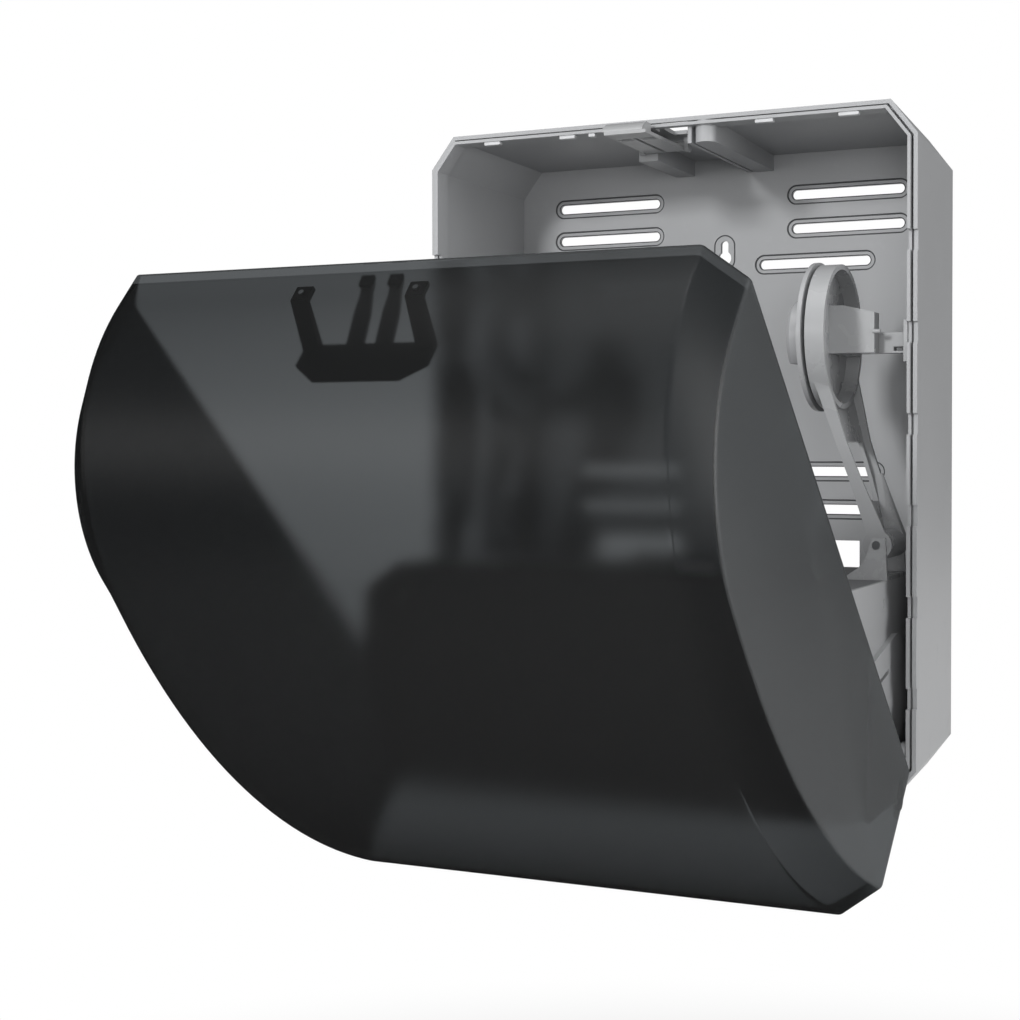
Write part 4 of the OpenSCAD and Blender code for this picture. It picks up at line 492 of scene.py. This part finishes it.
def hinge_ear(side):
    """Eye round the pin, and its root on the cover's side wall."""
    middle = side * (HALF_W - COVER_WALL - EAR_GAP - EAR_W / 2)
    nothing_selected()
    bpy.ops.mesh.primitive_plane_add(size=1)
    eye = bpy.context.object
    sized(eye, (EAR_W, EAR_R - EAR_BORE_R, 1),
          row_place(middle, HINGE_Y + (EAR_R + EAR_BORE_R) / 2, HINGE_Z))
    bpy.ops.object.mode_set(mode="EDIT")
    bpy.ops.mesh.select_all(action="SELECT")
    bpy.ops.mesh.delete(type="ONLY_FACE")
    bpy.ops.mesh.select_all(action="SELECT")
    bpy.ops.mesh.spin(steps=48, angle=-2 * math.pi, axis=(1, 0, 0), center=row_place(0, HINGE_Y, HINGE_Z))
    bpy.ops.mesh.select_all(action="SELECT")
    bpy.ops.mesh.remove_doubles(threshold=MERGE)
    bpy.ops.mesh.normals_make_consistent(inside=False)
    bpy.ops.object.mode_set(mode="OBJECT")
    nothing_selected()
    bpy.ops.mesh.primitive_cube_add(size=1)
    root = bpy.context.object
    sized(root, (EAR_W, 2 * EAR_R, EAR_ROOT_H), row_place(middle, HINGE_Y, HINGE_Z + EAR_ROOT_RISE))
    return [eye, root]


def stop_peg(side):
    """A peg inside the cover's side wall that meets the housing's stop when the cover is open."""
    way = math.radians(STOP_ANGLE - OPEN_ANGLE) - 2 * math.asin((STOP_R + PEG_R + PEG_GAP) / (2 * PEG_REACH))
    nothing_selected()
    bpy.ops.mesh.primitive_cylinder_add(vertices=24, radius=1, depth=1, rotation=(0, math.pi / 2, 0))
    peg = bpy.context.object
    bpy.ops.object.transform_apply(location=True, rotation=True, scale=True)
    middle = side * (HALF_W - COVER_WALL - PEG_L / 2)
    sized(peg, (PEG_L, PEG_R, PEG_R),
          row_place(middle, HINGE_Y + PEG_REACH * math.cos(way), HINGE_Z + PEG_REACH * math.sin(way)))
    edges_rounded(peg, PEG_ROUND)
    return peg


def smooth_cover():
    """The tinted cover: a rounded skin thickened inwards, with a heavier lower flange, ears and pegs."""
    cover = cover_skin()
    edges_rounded(cover, COVER_ROUND, 3, 25.0)
    only(cover)
    bpy.ops.object.mode_set(mode="EDIT")
    bpy.ops.mesh.select_all(action="SELECT")
    bpy.ops.mesh.normals_make_consistent(inside=False)
    bpy.ops.object.mode_set(mode="OBJECT")
    flange = cover.vertex_groups.new(name="flange")
    flange_top = (FRONT_PROFILE["low"] + FLANGE_H - DRAFT_Z) * MM
    flange.add([v.index for v in cover.data.vertices
                if abs(v.co.x) < (FRONT_PROFILE["x"] + 2) * MM and v.co.z < flange_top], 1.0, "REPLACE")
    apply_modifier(cover, "SOLIDIFY", thickness=FLANGE_WALL * MM, offset=-1.0, use_even_offset=True,
                   vertex_group="flange", thickness_vertex_group=COVER_WALL / FLANGE_WALL,
                   use_quality_normals=True)
    edges_rounded(cover, COVER_EDGE_ROUND, 2, 60.0)
    parts = [cover, stop_peg(-1), stop_peg(1)] + hinge_ear(-1) + hinge_ear(1)
    cover = joined("cover_shell_moulded", parts)
    only(cover)
    bpy.ops.object.mode_set(mode="EDIT")
    bpy.ops.mesh.select_all(action="SELECT")
    bpy.ops.transform.rotate(value=-math.radians(OPEN_ANGLE), orient_axis="X", orient_type="GLOBAL",
                             center_override=row_place(0, HINGE_Y, HINGE_Z))
    bpy.ops.object.mode_set(mode="OBJECT")
    smoothed(cover)
    dress(cover, "tint")
    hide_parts("cover_shell")
    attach(cover, frame["nodes"]["cover_shell"]["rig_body"])
    return cover


# Wall slots: length, half width, border radius, panel thickness and dish depth
SLOT_L, SLOT_R, SLOT_RIM_R, BACK_T, SLOT_DISH = 74.0, 3.0, 6.5, 3.0, 0.8
# Half thickness of the dark border lines of painted shade, and how far the edge line stands out from the slot
BORDER_LINE_R, EDGE_LINE_R, KEY_LINE_R, EDGE_OUT, BORDER_IN, LINE_SUNK = 0.5, 0.3, 0.45, 0.35, 0.45, 0.1
SLOT_PLACES = ((83.5, 368.0), (83.5, 346.0), (61.5, 323.5), (68.0, 188.0), (68.0, 163.5))
KEY_Z, KEY_L, KEY_RIM_R, KEY_SHIFT = 329.0, 9.0, 7.0, 1.0
LIP_TABS = ((-117.5, -106.5), (-65.5, -55.0), (-46.0, -41.5), (60.5, 71.5), (110.5, 122.5))
LIP_UNDERSIDE, LIP_FRONT = 394.3, -BODY_D - 2.2
TAB_DEEP, TAB_HIGH, TAB_DROP, TAB_ROUND = 4.0, 2.2, 0.9, 0.5


def painted_shade_line(name, radius, half_run, line_r):
    """A dark rounded line of painted shade that follows a slot with round ends, about the origin in the
    wall's plane.
    """
    nothing_selected()
    bpy.ops.mesh.primitive_torus_add(major_segments=48, minor_segments=8, major_radius=radius * MM,
                                     minor_radius=line_r * MM, rotation=(math.pi / 2, 0, 0))
    line = bpy.context.object
    line.name = name
    bpy.ops.object.transform_apply(location=True, rotation=True, scale=True)
    for side in (-1, 1):
        pick(line, lambda v: v.co.x * side > MERGE)
        bpy.ops.transform.translate(value=(side * half_run * MM, 0, 0))
    bpy.ops.object.mode_set(mode="OBJECT")
    smoothed(line, 80)
    dress(line, "groove")
    return line


def set_down(pattern, name, turn, place):
    """A copy of a pattern piece with its own mesh, turned in the wall's plane and moved to its place."""
    piece = bpy.data.objects.new(name, pattern.data.copy())
    piece.data.transform(Matrix.Translation(place) @ Matrix.Rotation(turn, 4, "Y"))
    bpy.context.scene.collection.objects.link(piece)
    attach(piece, "housing")
    return piece


def slot_shade_lines():
    """Dark lines of painted shade round each wall slot and round the keyhole."""
    floor_y = SLOT_DISH - BACK_T - LINE_SUNK
    outer = painted_shade_line("slot_border", SLOT_RIM_R - BORDER_IN, SLOT_L / 2 - SLOT_R, BORDER_LINE_R)
    inner = painted_shade_line("slot_edge", SLOT_R + EDGE_OUT, SLOT_L / 2 - SLOT_R, EDGE_LINE_R)
    around_key = painted_shade_line("keyhole_border", KEY_RIM_R, KEY_L / 2, KEY_LINE_R)
    for side in (-1, 1):
        for i, (x, z) in enumerate(SLOT_PLACES):
            place = row_place(side * x, floor_y, z)
            set_down(outer, f"slot_border_{side}_{i}", 0, place)
            set_down(inner, f"slot_edge_{side}_{i}", 0, place)
    set_down(around_key, "keyhole_border_upright", math.pi / 2,
             row_place(0, -BACK_T, KEY_Z + KEY_L / 2 - KEY_SHIFT))
    for pattern in (outer, inner, around_key):
        bpy.data.objects.remove(pattern)


def lip_tabs():
    """Small snap tabs under the upper inner lip, coloured lighter than the housing as a painted highlight."""
    for i, (left, right) in enumerate(LIP_TABS):
        nothing_selected()
        bpy.ops.mesh.primitive_cube_add(size=1)
        tab = bpy.context.object
        tab.name = f"lip_tab_{i}"
        sized(tab, (right - left, TAB_DEEP, TAB_HIGH),
              row_place((left + right) / 2, LIP_FRONT + TAB_DEEP / 2, LIP_UNDERSIDE - TAB_DROP))
        edges_rounded(tab, TAB_ROUND)
        smoothed(tab)
        dress(tab, "tab")
        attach(tab, "housing")


rounded_nodes = {
    "housing": {"back_housing": 0.5},
    "holder": {"left_stay": 0.5, "right_stay": 0.5, "left_arm": 0.5, "right_arm": 0.5,
               "left_arm_base": 0.5, "right_arm_base": 0.5},
    "hub": {"left_hub": 0.6, "right_hub": 0.6},
    "catch": {"cover_catch": 0.35},
    "hook": {"catch_hooks": 0.2},
    "latch": {"latch_plate": 0.35},
    "side": {"left_side_cover": 0.5, "right_side_cover": 0.5},
    "front": {"module_front": 0.5},
    "lid": {"battery_lid": 0.4},
}
for finish, nodes in rounded_nodes.items():
    for node, width in nodes.items():
        softened(node, width, finish)
smooth_cover()
slot_shade_lines()
lip_tabs()


# Floor, light and camera. These sizes are in metres.
FLOOR_SIZE, FLOOR_Z, FLOOR_FADE = 30.0, -0.9, (1.0, 2.4)
CAMERA_PLACE = (0.3720268, -1.0474802, 0.200186 - DRAFT_Z * MM)
CAMERA_DIP, CAMERA_TURN = 0.897, 0.41681
LENS, SENSOR, SHIFT_X, SHIFT_Y = 58.724, 36.0, -0.08824, -0.03074
SKY_LEVEL = 0.22


def pale_floor():
    """A pale floor near the object that runs out into white."""
    nothing_selected()
    bpy.ops.mesh.primitive_plane_add(size=FLOOR_SIZE, location=(0, 0, FLOOR_Z))
    floor = bpy.context.object
    floor.name = "studio_floor"
    f = Finish("pale_floor")
    spread = f.node("ShaderNodeVectorMath", {"operation": "LENGTH"}, {0: f.place}, "Value").eased(*FLOOR_FADE)
    path = f.nodes.new("ShaderNodeLightPath")
    seen = Wire(f, path.outputs["Is Camera Ray"]) + Wire(f, path.outputs["Is Glossy Ray"])
    seen = (seen + Wire(f, path.outputs["Is Transmission Ray"])).limited()
    plain = f.node("ShaderNodeBsdfDiffuse", {}, {"Color": (0.9, 0.9, 0.9, 1.0)})
    white = f.node("ShaderNodeEmission", {}, {"Color": WHITE, "Strength": 1.0})
    mixed = f.node("ShaderNodeMixShader", {}, {0: spread * seen, 1: plain, 2: white})
    f.links.new(mixed.socket, f.end.inputs["Surface"])
    floor.data.materials.append(f.material)


def studio_world(level):
    """White for what the camera sees directly or through the cover, and a soft grey light otherwise."""
    world = bpy.data.worlds.new("studio")
    bpy.context.scene.world = world
    world.use_nodes = True
    nodes, links = world.node_tree.nodes, world.node_tree.links
    nodes.clear()
    path = nodes.new("ShaderNodeLightPath")
    most = nodes.new("ShaderNodeMath")
    most.operation = "MAXIMUM"
    links.new(path.outputs["Is Camera Ray"], most.inputs[0])
    links.new(path.outputs["Is Transmission Ray"], most.inputs[1])
    soft, white = nodes.new("ShaderNodeBackground"), nodes.new("ShaderNodeBackground")
    soft.inputs["Color"].default_value = WHITE
    soft.inputs["Strength"].default_value = level
    white.inputs["Color"].default_value = WHITE
    white.inputs["Strength"].default_value = 1.0
    choice = nodes.new("ShaderNodeMixShader")
    links.new(most.outputs[0], choice.inputs[0])
    links.new(soft.outputs[0], choice.inputs[1])
    links.new(white.outputs[0], choice.inputs[2])
    end = nodes.new("ShaderNodeOutputWorld")
    links.new(choice.outputs[0], end.inputs["Surface"])


def softbox(name, place, aim, size, power, mirrored=True):
    """An area lamp that may show in mirrored surfaces but not through the cover."""
    data = bpy.data.lights.new(name, "AREA")
    data.shape = "RECTANGLE"
    data.size, data.size_y = size
    data.energy = power
    lamp = bpy.data.objects.new(name, data)
    bpy.context.scene.collection.objects.link(lamp)
    lamp.location = place
    lamp.rotation_euler = (Vector(aim) - Vector(place)).to_track_quat("-Z", "Y").to_euler()
    lamp.visible_glossy = mirrored
    lamp.visible_transmission = False


def camera():
    data = bpy.data.cameras.new("view")
    data.sensor_width = SENSOR
    data.lens = LENS
    data.shift_x = SHIFT_X
    data.shift_y = SHIFT_Y
    view = bpy.data.objects.new("view", data)
    bpy.context.scene.collection.objects.link(view)
    view.location = CAMERA_PLACE
    view.rotation_euler = (math.radians(90 - CAMERA_DIP), 0.0, CAMERA_TURN)
    bpy.context.scene.camera = view


pale_floor()
studio_world(SKY_LEVEL)
softbox("overhead", (0.1, -0.7, 1.5), (0, -0.2, 0.2), (1.6, 1.0), 8)
softbox("key", (-0.5, -2.3, 0.92), (0, -0.1, 0.3), (0.3, 0.3), 34, mirrored=False)
softbox("long_band", (-1.25, -2.6, 0.45), (0, -0.46, 0.2), (3.2, 0.9), 18)
softbox("right", (1.7, -0.6, 0.5), (0.1, -0.1, 0.2), (0.9, 1.4), 14.5)
softbox("low_right", (0.7, -2.0, 0.25), (0.1, 0, 0.15), (0.5, 0.5), 9, mirrored=False)
camera()
scene = bpy.context.scene
scene.view_settings.view_transform = "Standard"
